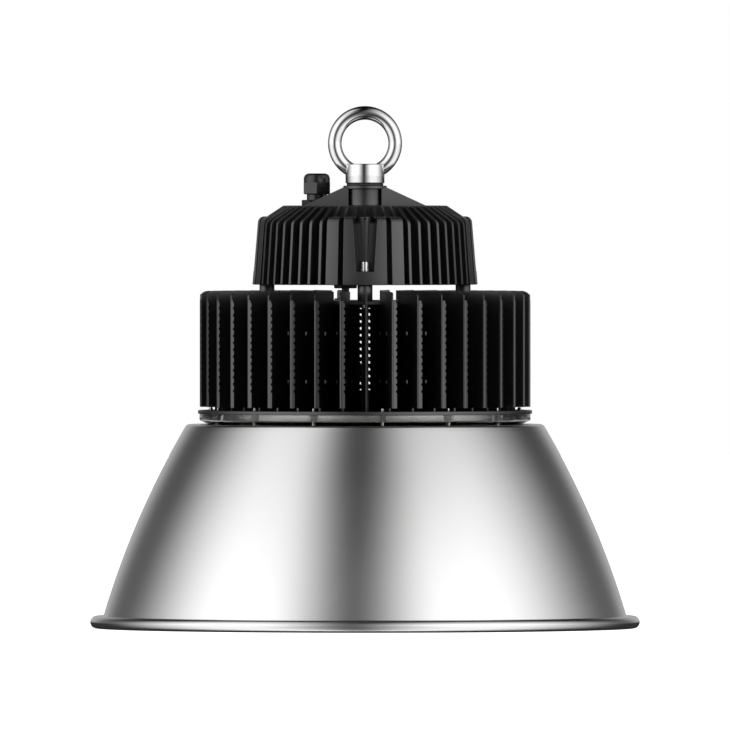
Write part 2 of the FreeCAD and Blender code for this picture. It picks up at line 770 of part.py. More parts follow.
def driver_cover():
    """The plate that closes the housing from below, with four standoffs for the circuit board."""
    made = body("driver_cover", turn=FRONT)
    turned(made, box_outline("0", HOUSING_BOTTOM, "cover_radius", COVER_TOP))
    around = "standoff_ring * cos(45)"
    standoff = sketch_on(made, "XY_Plane", out=COVER_TOP, circles=[(around, around, "standoff_radius")])
    repeat(made, [pad(made, standoff, "standoff_height")], "post_count")
    across = "boss_ring * cos(45)"
    hole = sketch_on(made, "XY_Plane", out=HOUSING_BOTTOM,
                     circles=[(across, across, "cover_screw_radius + clearance")])
    seat = sketch_on(made, "XY_Plane", out=HOUSING_BOTTOM, circles=[(across, across, "cover_head_radius + clearance")])
    cuts = [pocket(made, hole, "cover_thickness"), pocket(made, seat, "cover_head_height")]
    repeat(made, cuts, "post_count")
    lead_hole = sketch_on(made, "XY_Plane", out=HOUSING_BOTTOM,
                          circles=[("0", "-plug_offset", "plug_thread_radius + clearance")])
    pocket(made, lead_hole, "cover_thickness")
    return made


def cover_screws():
    """Flat screws, sunk in the cover."""
    made = body("cover_screws", turn=f"{FRONT} + 45")
    seat = f"{HOUSING_BOTTOM} + cover_head_height"
    tip = f"{COVER_TOP} + cover_screw_length - 2 * clearance"
    screw = turned(made, [
        ("0", HOUSING_BOTTOM),
        ("cover_head_radius", HOUSING_BOTTOM),
        ("cover_head_radius", seat),
        ("cover_screw_radius", seat),
        ("cover_screw_radius", tip),
        ("0", tip),
    ], offset="boss_ring")
    repeat(made, [screw], "post_count")
    return made


def driver_circuit():
    made = body("driver_circuit")
    turned(made, box_outline("0", f"{COVER_TOP} + standoff_height", "circuit_radius", CIRCUIT_TOP))
    return made


def driver_transformer():
    made = doc.addObject("Part::Box", "driver_transformer")
    made.Label = "driver_transformer"
    for name, text in (("Length", "transformer_length"), ("Width", "transformer_width"),
                       ("Height", "transformer_height"), ("Placement.Base.x", "capacitor_spacing / -5"),
                       ("Placement.Base.y", "transformer_width / -2"), ("Placement.Base.z", CIRCUIT_TOP)):
        made.setExpression(name, bound(text))
    return made


def driver_capacitors():
    """Three upright capacitors beside the transformer."""
    made = body("driver_capacitors")
    circles = [("capacitor_spacing * -1.4", f"capacitor_spacing * {step}", "capacitor_radius") for step in (-1, 0, 1)]
    pad(made, sketch_on(made, "XY_Plane", out=CIRCUIT_TOP, circles=circles), "capacitor_height")
    return made


# ---- Supply gland ----

def at_gland(node):
    """A body on the supply gland's axis, behind the left web."""
    return body(node, x="-gland_offset", y="gland_setback")


GLAND_NECK = f"({HOUSING_TOP} + gland_base_height)"
GLAND_NUT = f"({GLAND_NECK} + gland_neck_height)"
GLAND_TOP = f"({GLAND_NUT} + gland_nut_height + gland_dome_height)"
GLAND_SEAL = f"({GLAND_TOP} - gland_seal_recess)"


def gland_body():
    """Hexagon base with a thread down through the roof and a neck up into the nut."""
    made = at_gland("gland_body")
    pad(made, sketch_on(made, "XY_Plane", [hexagon("gland_flats")], out=HOUSING_TOP), "gland_base_height")
    thread_end = f"{ROOF} - locknut_height - 2"
    turned(made, box_outline("gland_bore_radius", thread_end, "gland_thread_radius", GLAND_NECK))
    turned(made, box_outline("gland_bore_radius", GLAND_NECK, "gland_neck_radius", GLAND_NUT))
    bore = sketch_on(made, "XY_Plane", out=HOUSING_TOP, circles=[("0", "0", "gland_bore_radius")])
    pocket(made, bore, "gland_base_height")
    return made


def gland_nut():
    """Domed nut over the rubber seal, with a mouth a little narrower than the seal."""
    made = at_gland("gland_nut")
    pad(made, sketch_on(made, "XY_Plane", [hexagon("gland_flats")], out=GLAND_NUT), "gland_nut_height")
    dome_bottom = f"({GLAND_NUT} + gland_nut_height)"
    turned(made, [
        ("0", dome_bottom),
        ("gland_dome_radius", dome_bottom),
        ("gland_dome_radius", f"{GLAND_TOP} - gland_dome_corner"),
        ("gland_dome_radius - gland_dome_corner * 0.3", f"{GLAND_TOP} - gland_dome_corner * 0.3"),
        ("gland_dome_radius - gland_dome_corner", GLAND_TOP),
        ("0", GLAND_TOP),
    ])
    mouth = sketch_on(made, "XY_Plane", out=GLAND_NUT, circles=[("0", "0", "gland_seal_radius - 1")])
    pocket(made, mouth, f"{GLAND_TOP} - {GLAND_NUT}")
    room = sketch_on(made, "XY_Plane", out=GLAND_NUT, circles=[("0", "0", "gland_seal_radius + clearance")])
    pocket(made, room, f"{GLAND_SEAL} - {GLAND_NUT}")
    return made


def gland_seal():
    made = at_gland("gland_seal")
    turned(made, box_outline("gland_bore_radius", GLAND_NUT, "gland_seal_radius", GLAND_SEAL))
    return made


def gland_locknut():
    made = at_gland("gland_locknut")
    hexagon_sketch = sketch_on(made, "XY_Plane", [hexagon("gland_flats")], out=f"{ROOF} - locknut_height",
                               circles=[("0", "0", "gland_thread_radius + clearance")])
    pad(made, hexagon_sketch, "locknut_height")
    return made


# ---- Output lead ----

def output_plug():
    """The flanged bush in the driver's cover where the output lead leaves."""
    made = body("output_plug", x="-plug_offset")
    turned(made, [
        ("0", f"{HOUSING_BOTTOM} - plug_height"),
        ("plug_radius", f"{HOUSING_BOTTOM} - plug_height"),
        ("plug_radius", HOUSING_BOTTOM),
        ("plug_thread_radius", HOUSING_BOTTOM),
        ("plug_thread_radius", COVER_TOP),
        ("0", COVER_TOP),
    ])
    return made


LEAD_GLAND_TOP = f"({PLATE_TOP} + lead_gland_height)"


def lead_gland():
    """The gland in the middle of the base plate: a hexagon, a dome and a stub through the plate."""
    made = body("lead_gland")
    pad(made, sketch_on(made, "XY_Plane", [hexagon("lead_gland_flats")], out=PLATE_TOP), "lead_gland_hex_height")
    turned(made, [
        ("0", f"{LENS_TOP} - board_thickness"),
        ("lead_hole_radius - clearance", f"{LENS_TOP} - board_thickness"),
        ("lead_hole_radius - clearance", PLATE_TOP),
        ("lead_gland_dome_radius", f"{PLATE_TOP} + lead_gland_hex_height"),
        ("lead_gland_dome_radius", f"{LEAD_GLAND_TOP} - lead_gland_chamfer"),
        ("lead_gland_dome_radius - lead_gland_chamfer", LEAD_GLAND_TOP),
        ("0", LEAD_GLAND_TOP),
    ])
    return made


def output_lead():
    """The round lead from the driver's plug, down the middle of the heat sink, into its gland."""
    made = doc.addObject("Part::Feature", "output_lead")
    made.Label = "output_lead"
    start, end = value(f"{HOUSING_BOTTOM} - plug_height"), value(LEAD_GLAND_TOP)
    out, bow = value("-plug_offset"), value("-lead_bow")
    drop = start - end
    points = [(out, start), (out, start - 0.06 * drop), (bow, start - 0.26 * drop), (bow, start - 0.5 * drop),
              (0.5 * out, start - 0.72 * drop), (0, start - 0.86 * drop), (0, end)]
    route = [FreeCAD.Vector(x, 0, z) for x, z in points]
    edges, last = [], route[0]
    for before, corner, after in zip(route, route[1:], route[2:]):
        back, on = before - corner, after - corner
        turn = math.pi - back.getAngle(on)
        cut = 0.45 * min(back.Length, on.Length)
        arc_start, arc_end = corner + back.normalize() * cut, corner + on.normalize() * cut
        radius = cut / math.tan(turn / 2)
        print(f"output_lead: bend radius {radius:.1f}")
        centre_way = (back + on).normalize()
        middle = corner + centre_way * (radius / math.cos(turn / 2) - radius)
        edges.append(Part.LineSegment(last, arc_start).toShape())
        edges.append(Part.Arc(arc_start, middle, arc_end).toShape())
        last = arc_end
    edges.append(Part.LineSegment(last, route[-1]).toShape())
    path = Part.Wire(edges)
    section = Part.Wire(Part.makeCircle(value("lead_radius"), route[0], FreeCAD.Vector(0, 0, 1)))
    made.Shape = path.makePipeShell([section], True, False)
    print(f"output_lead: {path.Length:.1f} mm long")
    return made


# ---- Eye bolt ----

def eye_washer():
    made = body("eye_washer")
    turned(made, box_outline("eye_thread_radius + clearance", NECK_TOP, "washer_radius", COLLAR_BOTTOM))
    return made


def eye_bolt():
    made = body("eye_bolt")
    top = f"({COLLAR_BOTTOM} + collar_height)"
    thread_end = f"{NECK_TOP} - eye_thread_length + 2"
    turned(made, [
        ("0", thread_end),
        ("eye_thread_radius", thread_end),
        ("eye_thread_radius", COLLAR_BOTTOM),
        ("collar_radius - collar_chamfer", COLLAR_BOTTOM),
        ("collar_radius", f"{COLLAR_BOTTOM} + collar_chamfer"),
        ("collar_radius", f"{top} - collar_chamfer"),
        ("collar_radius - collar_chamfer", top),
        ("0", top),
    ])
    ring = sketch_on(made, "YZ_Plane", up=f"{COLLAR_BOTTOM} + eye_height",
                     circles=[("0", "eye_ring_radius", "eye_section_radius")])
    revolve(made, ring, axis="H_Axis")
    return made


# ---- The whole light ----

QUARTERS = ("front_right", "back_right", "back_left", "front_left")
SIDES = ("front", "right", "back", "left")

pieces = [
    reflector(), lens(), lens_gasket(), base_plate(), led_board(), led_chips(), clamp_screws(),
    *(fin_group(f"fins_{name}", quarter) for quarter, name in enumerate(QUARTERS)),
    short_fins(), mounting_disc(),
    *(post(f"post_{name}", quarter) for quarter, name in enumerate(SIDES)),
    driver_screws(), disc_screws(),
    driver_housing(), driver_cover(), cover_screws(), driver_circuit(), driver_transformer(), driver_capacitors(),
    gland_body(), gland_nut(), gland_seal(), gland_locknut(),
    output_plug(), lead_gland(), output_lead(),
    eye_washer(), eye_bolt(),
]
doc.recompute()

for item in doc.Objects:
    if {"Invalid", "Error"} & set(item.State):
        raise RuntimeError(f"{item.Label} failed: {item.State}")
for piece in pieces:
    if piece.Shape.isNull() or not piece.Shape.isValid():
        raise RuntimeError(f"{piece.Label} has no valid shape")

os.makedirs("parts", exist_ok=True)
for piece in pieces:
    piece.Shape.exportStep(f"parts/{piece.Label}.step")
    print(f"{piece.Label}: {len(piece.Shape.Solids)} solid(s), {piece.Shape.Volume / 1000:.1f} cm3")
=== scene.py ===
# %% [markdown]
# # A high bay light
# This light hangs from its eye bolt high under a workshop roof. From the top down it is an eye bolt, a round
# cast driver with ribs, four posts, a heat sink of folded sheet fins, a clear lens and a spun aluminium
# reflector. The solid model gives every level and radius. Here each piece that shows gets the detail and
# the finish that a person sees from a step away.

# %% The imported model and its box
import bmesh
import bpy
import math
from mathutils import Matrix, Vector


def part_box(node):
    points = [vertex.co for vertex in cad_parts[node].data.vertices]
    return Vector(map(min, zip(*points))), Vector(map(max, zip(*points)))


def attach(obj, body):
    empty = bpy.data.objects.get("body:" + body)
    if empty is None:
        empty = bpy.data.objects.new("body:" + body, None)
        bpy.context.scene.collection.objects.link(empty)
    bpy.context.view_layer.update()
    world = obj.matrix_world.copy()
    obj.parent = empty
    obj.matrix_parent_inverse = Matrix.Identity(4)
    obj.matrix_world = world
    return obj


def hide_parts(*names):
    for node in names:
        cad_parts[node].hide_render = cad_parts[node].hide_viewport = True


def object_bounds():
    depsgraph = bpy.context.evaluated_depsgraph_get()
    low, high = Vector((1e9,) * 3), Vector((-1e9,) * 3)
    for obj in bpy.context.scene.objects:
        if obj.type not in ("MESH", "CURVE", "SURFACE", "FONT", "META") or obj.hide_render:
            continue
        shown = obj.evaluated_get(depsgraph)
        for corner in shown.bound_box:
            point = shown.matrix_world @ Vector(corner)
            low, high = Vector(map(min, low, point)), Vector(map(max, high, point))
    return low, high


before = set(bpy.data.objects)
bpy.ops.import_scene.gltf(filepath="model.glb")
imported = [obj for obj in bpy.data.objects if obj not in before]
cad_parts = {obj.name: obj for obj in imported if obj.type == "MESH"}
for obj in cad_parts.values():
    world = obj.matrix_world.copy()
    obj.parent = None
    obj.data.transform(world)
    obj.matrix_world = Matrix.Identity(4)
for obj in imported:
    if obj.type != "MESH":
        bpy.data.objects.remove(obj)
cad_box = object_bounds()
print("nodes:", len(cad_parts))

# %% [markdown]
# ## Levels
# Lengths in this file are millimetres above the reflector's foot, because that is how a maker would write
# them. Each level is read from the solid model, so a change there moves the dressed pieces too.


# %% Levels read from the solids
def low(node):
    """A node's lowest level in millimetres."""
    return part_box(node)[0].z * 1000


def high(node):
    """A node's highest level in millimetres."""
    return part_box(node)[1].z * 1000


LENS_TOP, PLATE_TOP = low("base_plate"), high("base_plate")
FLANGE_TOP = high("reflector")
DISC_BOTTOM, DISC_TOP = low("mounting_disc"), high("mounting_disc")
HOUSING_BOTTOM, NECK_TOP = low("driver_housing"), high("driver_housing")
FIN_TOP = high("fins_front_right")
COLLAR_BOTTOM = high("eye_washer")
levels = (FLANGE_TOP, LENS_TOP, PLATE_TOP, DISC_TOP, HOUSING_BOTTOM, NECK_TOP)
print("levels:", [round(level, 1) for level in levels])

# %% [markdown]
# ## Camera
# The light is seen level and from far away, so its circles close to lines. A very long lens does that: it
# stands 27 m off and half a degree above level. The front of the light is -Y.

# %% Camera
AIM_LEVEL = sum(corner[2] for corner in cad_box) / 2 + 0.0018
ELEVATION, DISTANCE = math.radians(0.54), 27.6
FOCAL_LENGTH, SENSOR = 1600, 36

camera = bpy.data.objects.new("camera", bpy.data.cameras.new("camera"))
camera.data.lens = FOCAL_LENGTH
camera.data.sensor_width = SENSOR
camera.data.clip_end = 200
camera.location = (0, -DISTANCE * math.cos(ELEVATION), AIM_LEVEL + DISTANCE * math.sin(ELEVATION))
camera.rotation_euler = (math.pi / 2 - ELEVATION, 0, 0)
bpy.context.scene.collection.objects.link(camera)
bpy.context.scene.camera = camera
bpy.context.scene.view_settings.view_transform = "Standard"
print("the view is", round(DISTANCE * SENSOR / FOCAL_LENGTH, 3), "m wide")

# %% [markdown]
# ## Sums on sockets
# A procedural finish is arithmetic on node sockets. The class below wraps one socket, so that `wear * 2 + 1`
# adds the two Math nodes by itself. Its `node` method adds any other node: settings first, then inputs.


# %% A socket that takes part in sums
class Wire:
    """One output socket of a node tree. A sum or product of wires and numbers adds its Math nodes."""

    def __init__(self, tree, socket=None):
        self.tree = tree
        self.socket = socket

    def node(self, kind, settings=None, inputs=None, output=0):
        """Add a node, set it up, connect or set its inputs, and give one of its outputs."""
        made = self.tree.nodes.new(kind)
        for name, setting in (settings or {}).items():
            setattr(made, name, setting)
        for name, given in (inputs or {}).items():
            if isinstance(given, Wire):
                self.tree.links.new(given.socket, made.inputs[name])
            else:
                made.inputs[name].default_value = given
        return Wire(self.tree, made.outputs[output])

    def math(self, operation, first, second=0.0):
        return self.node("ShaderNodeMath", {"operation": operation}, {0: first, 1: second})

    def __add__(self, other):
        return self.math("ADD", self, other)

    def __sub__(self, other):
        return self.math("SUBTRACT", self, other)

    def __rsub__(self, other):
        return self.math("SUBTRACT", other, self)

    def __mul__(self, other):
        return self.math("MULTIPLY", self, other)

    __radd__, __rmul__ = __add__, __mul__


print("a wire knows + - *")

# %% [markdown]
# ## Studio
# Satin metal shows the room around it. This studio is a pale room with a long bright wall on each side and a
# dark opening in front, where the viewer stands. Walls painted into the world's own directions give soft,
# even reflections with no lamp shapes in them. Higher up both walls stand further aside, and the right one
# is dimmer. The viewer sees plain white instead of the walls.


# %% The studio's walls
def smooth_step(wire, start, end):
    """0 up to start, 1 from end on, with a soft change between; start may be above end."""
    return wire.node("ShaderNodeMapRange", {"interpolation_type": "SMOOTHSTEP"},
                     {"Value": wire, "From Min": start, "From Max": end})


def wall(turn, dark, full, dimmed, gone):
    """A wall's brightness by the turn towards it: a rise from dark to full, a fade from dimmed to gone."""
    rise = smooth_step(turn, math.radians(dark), math.radians(full))
    fall = smooth_step(turn, math.radians(gone), math.radians(dimmed))
    return rise * fall


WALL_LEVEL, ROOM_LEVEL, MATT_FILL = 1.38, 0.006, 0.2
LEFT_WALL, RIGHT_WALL = (3, 50, 66, 136), (-8, 40, 56, 138)
HIGH_ASIDE, HIGH_DIMMING = math.radians(9), 0.3


def studio_walls(turn, outward=0, right_share=1):
    """Both bright walls by the turn to the right: moved outward, and the right one dimmed to a share."""
    left = wall(turn * -1 - outward, *LEFT_WALL)
    return left + wall(turn - outward, *RIGHT_WALL) * right_share


world = bpy.data.worlds.new("studio")
world.use_nodes = True
bpy.context.scene.world = world
world.node_tree.nodes.clear()
sky = Wire(world.node_tree)
direction = sky.node("ShaderNodeTexCoord")
parts = {axis: sky.node("ShaderNodeSeparateXYZ", None, {0: direction}, output=axis) for axis in "XYZ"}
turn = sky.math("ARCTAN2", parts["X"], parts["Y"] * -1)
height = (smooth_step(parts["Z"], 0.9, 0.4) * 0.38 + 0.62) * smooth_step(parts["Z"], 0.998, 0.9)
aside = sky.math("ABSOLUTE", turn)
back_wall = (smooth_step(aside, math.radians(100), math.radians(140)) * 0.1
             + smooth_step(aside, math.radians(144), math.radians(168)) * 0.4)
behind = back_wall * smooth_step(parts["Z"], 0.6, 0.15)
high_up = smooth_step(parts["Z"], 0.6, 0.92)
walls = studio_walls(turn, high_up * HIGH_ASIDE, high_up * -HIGH_DIMMING + 1) * height
rays = {name: sky.node("ShaderNodeLightPath", output=name)
        for name in ("Is Camera Ray", "Is Diffuse Ray", "Is Transmission Ray")}
plain = sky.math("MAXIMUM", rays["Is Camera Ray"], rays["Is Transmission Ray"])
room = walls * WALL_LEVEL + behind + ROOM_LEVEL + rays["Is Diffuse Ray"] * MATT_FILL
strength = plain + (1 - plain) * room
background = sky.node("ShaderNodeBackground", None, {"Color": (1, 1, 1, 1), "Strength": strength})
output = world.node_tree.nodes.new("ShaderNodeOutputWorld")
world.node_tree.links.new(background.socket, output.inputs["Surface"])
print("the walls are full", LEFT_WALL[1], "degrees left and", RIGHT_WALL[1], "degrees right of the front")

# %% [markdown]
# ## Floor and key light
# A pale floor carries the light's soft shadow. For the viewer it also glows a little, so that it reads white
# where nothing shades it. Metals see something else there: a ray that comes off metal finds the foot of the
# same two walls, by its own direction, so that the rim is lit like the wall above it. One large lamp high
# above gives the shadow, and metals don't show it.

# %% Floor and lamp
FLOOR_SIDE, FLOOR_GLOW = 24.0, 0.8
FOOT_LEVEL, FOOT_FILL = 1.1, 0.03
floor_mesh = bpy.data.meshes.new("floor")
half = FLOOR_SIDE / 2
corners = [(-half, -half, 0), (half, -half, 0), (half, half, 0), (-half, half, 0)]
floor_mesh.from_pydata(corners, [], [(0, 1, 2, 3)])
floor = bpy.data.objects.new("floor", floor_mesh)
bpy.context.scene.collection.objects.link(floor)
floor_paint = bpy.data.materials.new("floor_pale")
floor_paint.use_nodes = True
floor_paint.node_tree.nodes.clear()
paint = Wire(floor_paint.node_tree)
seen = paint.math("MAXIMUM", paint.node("ShaderNodeLightPath", output="Is Camera Ray"),
                  paint.node("ShaderNodeLightPath", output="Is Transmission Ray"))
glow = paint.node("ShaderNodeEmission", None, {"Color": (1, 1, 1, 1), "Strength": seen * FLOOR_GLOW})
matt = paint.node("ShaderNodeBsdfDiffuse", None, {"Color": (0.8, 0.8, 0.8, 1)})
pale = paint.node("ShaderNodeAddShader", None, {0: glow, 1: matt})
back_along_ray = paint.node("ShaderNodeNewGeometry", output="Incoming")
across = paint.node("ShaderNodeSeparateXYZ", None, {0: back_along_ray}, output="X")
deep = paint.node("ShaderNodeSeparateXYZ", None, {0: back_along_ray}, output="Y")
foot_of_walls = studio_walls(paint.math("ARCTAN2", across * -1, deep)) * FOOT_LEVEL + FOOT_FILL
mirrored = paint.node("ShaderNodeEmission", None, {"Color": (1, 1, 1, 1), "Strength": foot_of_walls})
in_metal = paint.node("ShaderNodeLightPath", output="Is Glossy Ray")
surface = paint.node("ShaderNodeMixShader", None, {0: in_metal, 1: pale, 2: mirrored})
floor_output = floor_paint.node_tree.nodes.new("ShaderNodeOutputMaterial")
floor_paint.node_tree.links.new(surface.socket, floor_output.inputs["Surface"])
floor_mesh.materials.append(floor_paint)

lamp_data = bpy.data.lights.new("overhead", "AREA")
lamp_data.shape = "DISK"
lamp_data.size = 1.6
lamp_data.energy = 14
lamp = bpy.data.objects.new("overhead", lamp_data)
lamp.location = (0.5, 0.3, 3.0)
lamp.rotation_euler = (-0.1, 0.16, 0)
lamp.visible_glossy = False
bpy.context.scene.collection.objects.link(lamp)
print("floor", FLOOR_SIDE, "m, lamp", lamp_data.energy, "W")

# %% [markdown]
# ## Finishes
# Every finish is a Principled shader. Numbers that are the same all over go straight on its sockets. What
# changes over the surface, such as grain, dust and wear, is worked out from the object's own coordinates and
# feeds only colour, roughness and a bump.


# %% How a finish is made
def finish(name, numbers, varied):
    """A material: numbers go on the shader's sockets, and varied(start) gives what changes over it."""
    made = bpy.data.materials.new(name)
    made["slot"] = name
    made.use_nodes = True
    shader = made.node_tree.nodes["Principled BSDF"]
    for socket, number in numbers.items():
        shader.inputs[socket].default_value = number
    for socket, wire in varied(Wire(made.node_tree)).items():
        made.node_tree.links.new(wire.socket, shader.inputs[socket])
    return made


def place(start):
    """The surface's place in the object's own coordinates, in metres."""
    return start.node("ShaderNodeTexCoord", output="Object")


def cloud(start, size, detail=2.0, roughness=0.5):
    """Noise from 0 to 1 whose lumps are about so many millimetres across."""
    return start.node("ShaderNodeTexNoise", None, {"Vector": place(start), "Scale": 1000.0 / size,
                                                  "Detail": detail, "Roughness": roughness})


def tint(start, first, second, factor):
    """A colour that goes from the first to the second by a factor."""
    return start.node("ShaderNodeMix", {"data_type": "RGBA"},
                      {"Factor": factor, 6: (*first, 1), 7: (*second, 1)}, output=2)


def bump(start, depth, height, strength):
    """A bump that is so many millimetres deep where height goes from 0 to 1."""
    return start.node("ShaderNodeBump", None,
                      {"Strength": strength, "Distance": depth / 1000.0, "Height": height})


def turned_grain(start, spacing):
    """Fine rings about the light's axis, as a spinning tool leaves them: noise on radius plus level."""
    spot = {axis: start.node("ShaderNodeSeparateXYZ", None, {0: place(start)}, output=axis) for axis in "XYZ"}
    radius = start.math("SQRT", spot["X"] * spot["X"] + spot["Y"] * spot["Y"])
    along = (radius - spot["Z"]) * (1000.0 / spacing)
    return start.node("ShaderNodeTexNoise", {"noise_dimensions": "1D"},
                      {"W": along, "Scale": 1.0, "Detail": 3.0})


print("finishes are made from", "cloud, tint, bump and turned_grain")

# %% [markdown]
# ### Metals
# The reflector is spun from sheet and left bare. The tool's rings are finer than the eye sees one by one, so
# they mostly stretch the highlights up and down: that is the anisotropy. The eye bolt is polished, the screws
# are bright zinc.


# %% Metals
def spun_surface(start):
    rings = turned_grain(start, 0.7)
    broad = cloud(start, 60, 3.0)
    return {"Base Color": tint(start, (0.80, 0.80, 0.80), (0.90, 0.90, 0.895), rings * 0.6 + broad * 0.4),
            "Roughness": rings * 0.04 + broad * 0.03 + 0.18,
            "Normal": bump(start, 0.02, rings, 0.25)}


spun_aluminium = finish("spun_aluminium", {"Metallic": 1.0, "Anisotropic": 0.35}, spun_surface)


def polished_surface(start):
    smear = cloud(start, 9, 4.0)
    return {"Base Color": tint(start, (0.78, 0.78, 0.78), (0.86, 0.86, 0.855), smear),
            "Roughness": smear * 0.02 + 0.04}


polished_steel = finish("polished_steel", {"Metallic": 1.0}, polished_surface)


def screw_surface(start):
    smear = cloud(start, 2, 3.0)
    return {"Base Color": tint(start, (0.70, 0.70, 0.69), (0.86, 0.86, 0.85), smear),
            "Roughness": smear * 0.06 + 0.12}


bright_screw = finish("bright_screw", {"Metallic": 1.0}, screw_surface)
print("metals:", spun_aluminium.name, polished_steel.name, bright_screw.name)

# %% [markdown]
# ### Blacks
# Three blacks sit side by side. The casting has a fine powder coat, the fins are anodised sheet, and the
# glands are moulded plastic. They differ less in colour than in how they take the light.


# %% Blacks
def black(name, dark, pale, roughness, grain, depth, level=1.0):
    """A black finish: two near blacks mixed by a cloud, and a grain of a size and depth in millimetres."""
    def surface(start):
        broad = cloud(start, 14, 4.0)
        fine = cloud(start, grain, 3.0, 0.6)
        return {"Base Color": tint(start, (dark,) * 3, (pale,) * 3, broad * 0.6 + fine * 0.4),
                "Roughness": broad * 0.06 + fine * 0.05 + (roughness - 0.05),
                "Normal": bump(start, depth, fine, 0.35)}
    return finish(name, {"Specular IOR Level": level, "IOR": 1.6}, surface)


housing_black = black("housing_black", 0.006, 0.012, 0.34, 0.9, 0.03)
fin_black = black("fin_black", 0.004, 0.008, 0.34, 0.5, 0.012)
dark_plate = black("dark_plate", 0.006, 0.012, 0.32, 0.6, 0.012)
gland_plastic = black("gland_plastic", 0.008, 0.014, 0.24, 1.2, 0.012, 0.6)
black_rubber = black("black_rubber", 0.014, 0.024, 0.55, 0.7, 0.02, 0.5)
lead_jacket = black("lead_jacket", 0.010, 0.016, 0.42, 0.8, 0.015, 0.5)
print("blacks:", housing_black.name, fin_black.name, gland_plastic.name)

# %% [markdown]
# ### Lens, board and electronics
# The lens is clear moulded plastic. Behind its window the board is white, with yellow chips, and the driver
# holds a green circuit board, a wrapped transformer and sleeved capacitors that only show when it is opened.


# %% Lens and electronics
def lens_surface(start):
    flow = cloud(start, 20, 2.0)
    return {"Roughness": flow * 0.05 + 0.03, "Normal": bump(start, 0.05, flow, 0.3)}


clear_plastic = {"Transmission Weight": 1.0, "IOR": 1.49, "Base Color": (0.81, 0.815, 0.795, 1)}
clear_lens = finish("clear_lens", clear_plastic, lens_surface)


def two_tone(name, first, second, size, roughness):
    """A plain finish of two close colours in patches of a size in millimetres."""
    def surface(start):
        patch = cloud(start, size, 3.0)
        return {"Base Color": tint(start, first, second, patch), "Roughness": patch * 0.1 + roughness}
    return finish(name, {"Specular IOR Level": 0.5}, surface)


white_board = two_tone("white_board", (0.78, 0.78, 0.76), (0.84, 0.84, 0.82), 6, 0.35)
chip_yellow = two_tone("chip_yellow", (0.80, 0.62, 0.12), (0.85, 0.70, 0.18), 1, 0.3)
circuit_green = two_tone("circuit_green", (0.02, 0.14, 0.05), (0.03, 0.19, 0.07), 5, 0.35)
transformer_wrap = two_tone("transformer_wrap", (0.70, 0.55, 0.10), (0.75, 0.60, 0.14), 8, 0.3)
capacitor_sleeve = two_tone("capacitor_sleeve", (0.02, 0.03, 0.06), (0.03, 0.04, 0.09), 8, 0.3)
print("lens and electronics done")

# %% [markdown]
# ## Making meshes
# Nearly every piece is either turned about an axis or cut from sheet and bar. `lathe` and `prism` make those
# from a list of points, in millimetres. `rounded` rounds the corners of an outline, because no real edge is
# sharp, and the highlight along it is what makes an edge look real. `at_turns` repeats a mesh round the axis.


# %% Helpers for outlines and meshes
def rounded(outline, radius, steps=3, closed=True):
    """The outline with each corner rounded, or a corner's own radius where a point has a third number."""
    result = []
    count = len(outline)
    for index, point in enumerate(outline):
        size = point[2] if len(point) > 2 else radius
        if size <= 0 or (not closed and index in (0, count - 1)):
            result.append(tuple(point[:2]))
            continue
        before, after = outline[index - 1], outline[(index + 1) % count]
        back = (before[0] - point[0], before[1] - point[1])
        on = (after[0] - point[0], after[1] - point[1])
        back_length, on_length = math.hypot(*back), math.hypot(*on)
        cosine = (back[0] * on[0] + back[1] * on[1]) / (back_length * on_length)
        half = math.acos(max(-1.0, min(1.0, cosine))) / 2
        cut = min(size / math.tan(half) if half > 1e-3 else 0, 0.45 * back_length, 0.45 * on_length)
        for step in range(steps + 1):
            t = step / steps
            a, b, c = (1 - t) ** 2, 2 * t * (1 - t), t ** 2
            start = (point[0] + back[0] / back_length * cut, point[1] + back[1] / back_length * cut)
            end = (point[0] + on[0] / on_length * cut, point[1] + on[1] / on_length * cut)
            weight = math.sin(half)
            total = a + b * weight + c
            result.append(tuple((a * start[k] + b * weight * point[k] + c * end[k]) / total for k in (0, 1)))
    return result


def ring_outline(inner, outer, bottom, top):
    """The outline of a plain ring or disc, as (radius, level)."""
    return [(inner, bottom), (outer, bottom), (outer, top), (inner, top)]


def lathe(outline, turns, centre=(0, 0)):
    """Points and faces of a closed outline of (radius, level) turned about an upright axis."""
    angles = [2 * math.pi * k / turns for k in range(turns)]
    points = [(centre[0] + r * math.cos(angle), centre[1] + r * math.sin(angle), z)
              for angle in angles for r, z in outline]
    count = len(outline)
    faces = []
    for k in range(turns):
        here, there = k * count, (k + 1) % turns * count
        for i in range(count):
            j = (i + 1) % count
            if outline[i][0] < 1e-6 and outline[j][0] < 1e-6:
                continue
            faces.append((here + i, there + i, there + j, here + j))
    return points, faces


def prism(outline, make_point, steps=1):
    """A closed outline swept from one side to the other, where make_point((u, v), t) has t from 0 to 1."""
    count = len(outline)
    points = [make_point(point, step / steps) for step in range(steps + 1) for point in outline]
    faces = [tuple(range(count)), tuple(steps * count + i for i in reversed(range(count)))]
    for step in range(steps):
        here, there = step * count, (step + 1) * count
        faces += [(here + (i + 1) % count, here + i, there + i, there + (i + 1) % count)
                  for i in range(count)]
    return points, faces


def turned_by(points, degrees):
    """Points turned about the light's axis, from its front towards +X."""
    cosine, sine = math.cos(math.radians(degrees)), math.sin(math.radians(degrees))
    return [(x * cosine - y * sine, x * sine + y * cosine, z) for x, y, z in points]


def around(count, first=0.0):
    """Turns of so many places spread evenly about the axis, in degrees from the front."""
    return [first + 360 * index / count for index in range(count)]


def at_turns(mesh, turns):
    """Copies of (points, faces), one at each turn about the light's axis."""
    points, faces = mesh
    return [(turned_by(points, turn), faces) for turn in turns]


def joined(*meshes):
    """Several (points, faces) as one."""
    points, faces = [], []
    for more_points, more_faces in meshes:
        first = len(points)
        points += more_points
        faces += [tuple(first + index for index in face) for face in more_faces]
    return points, faces


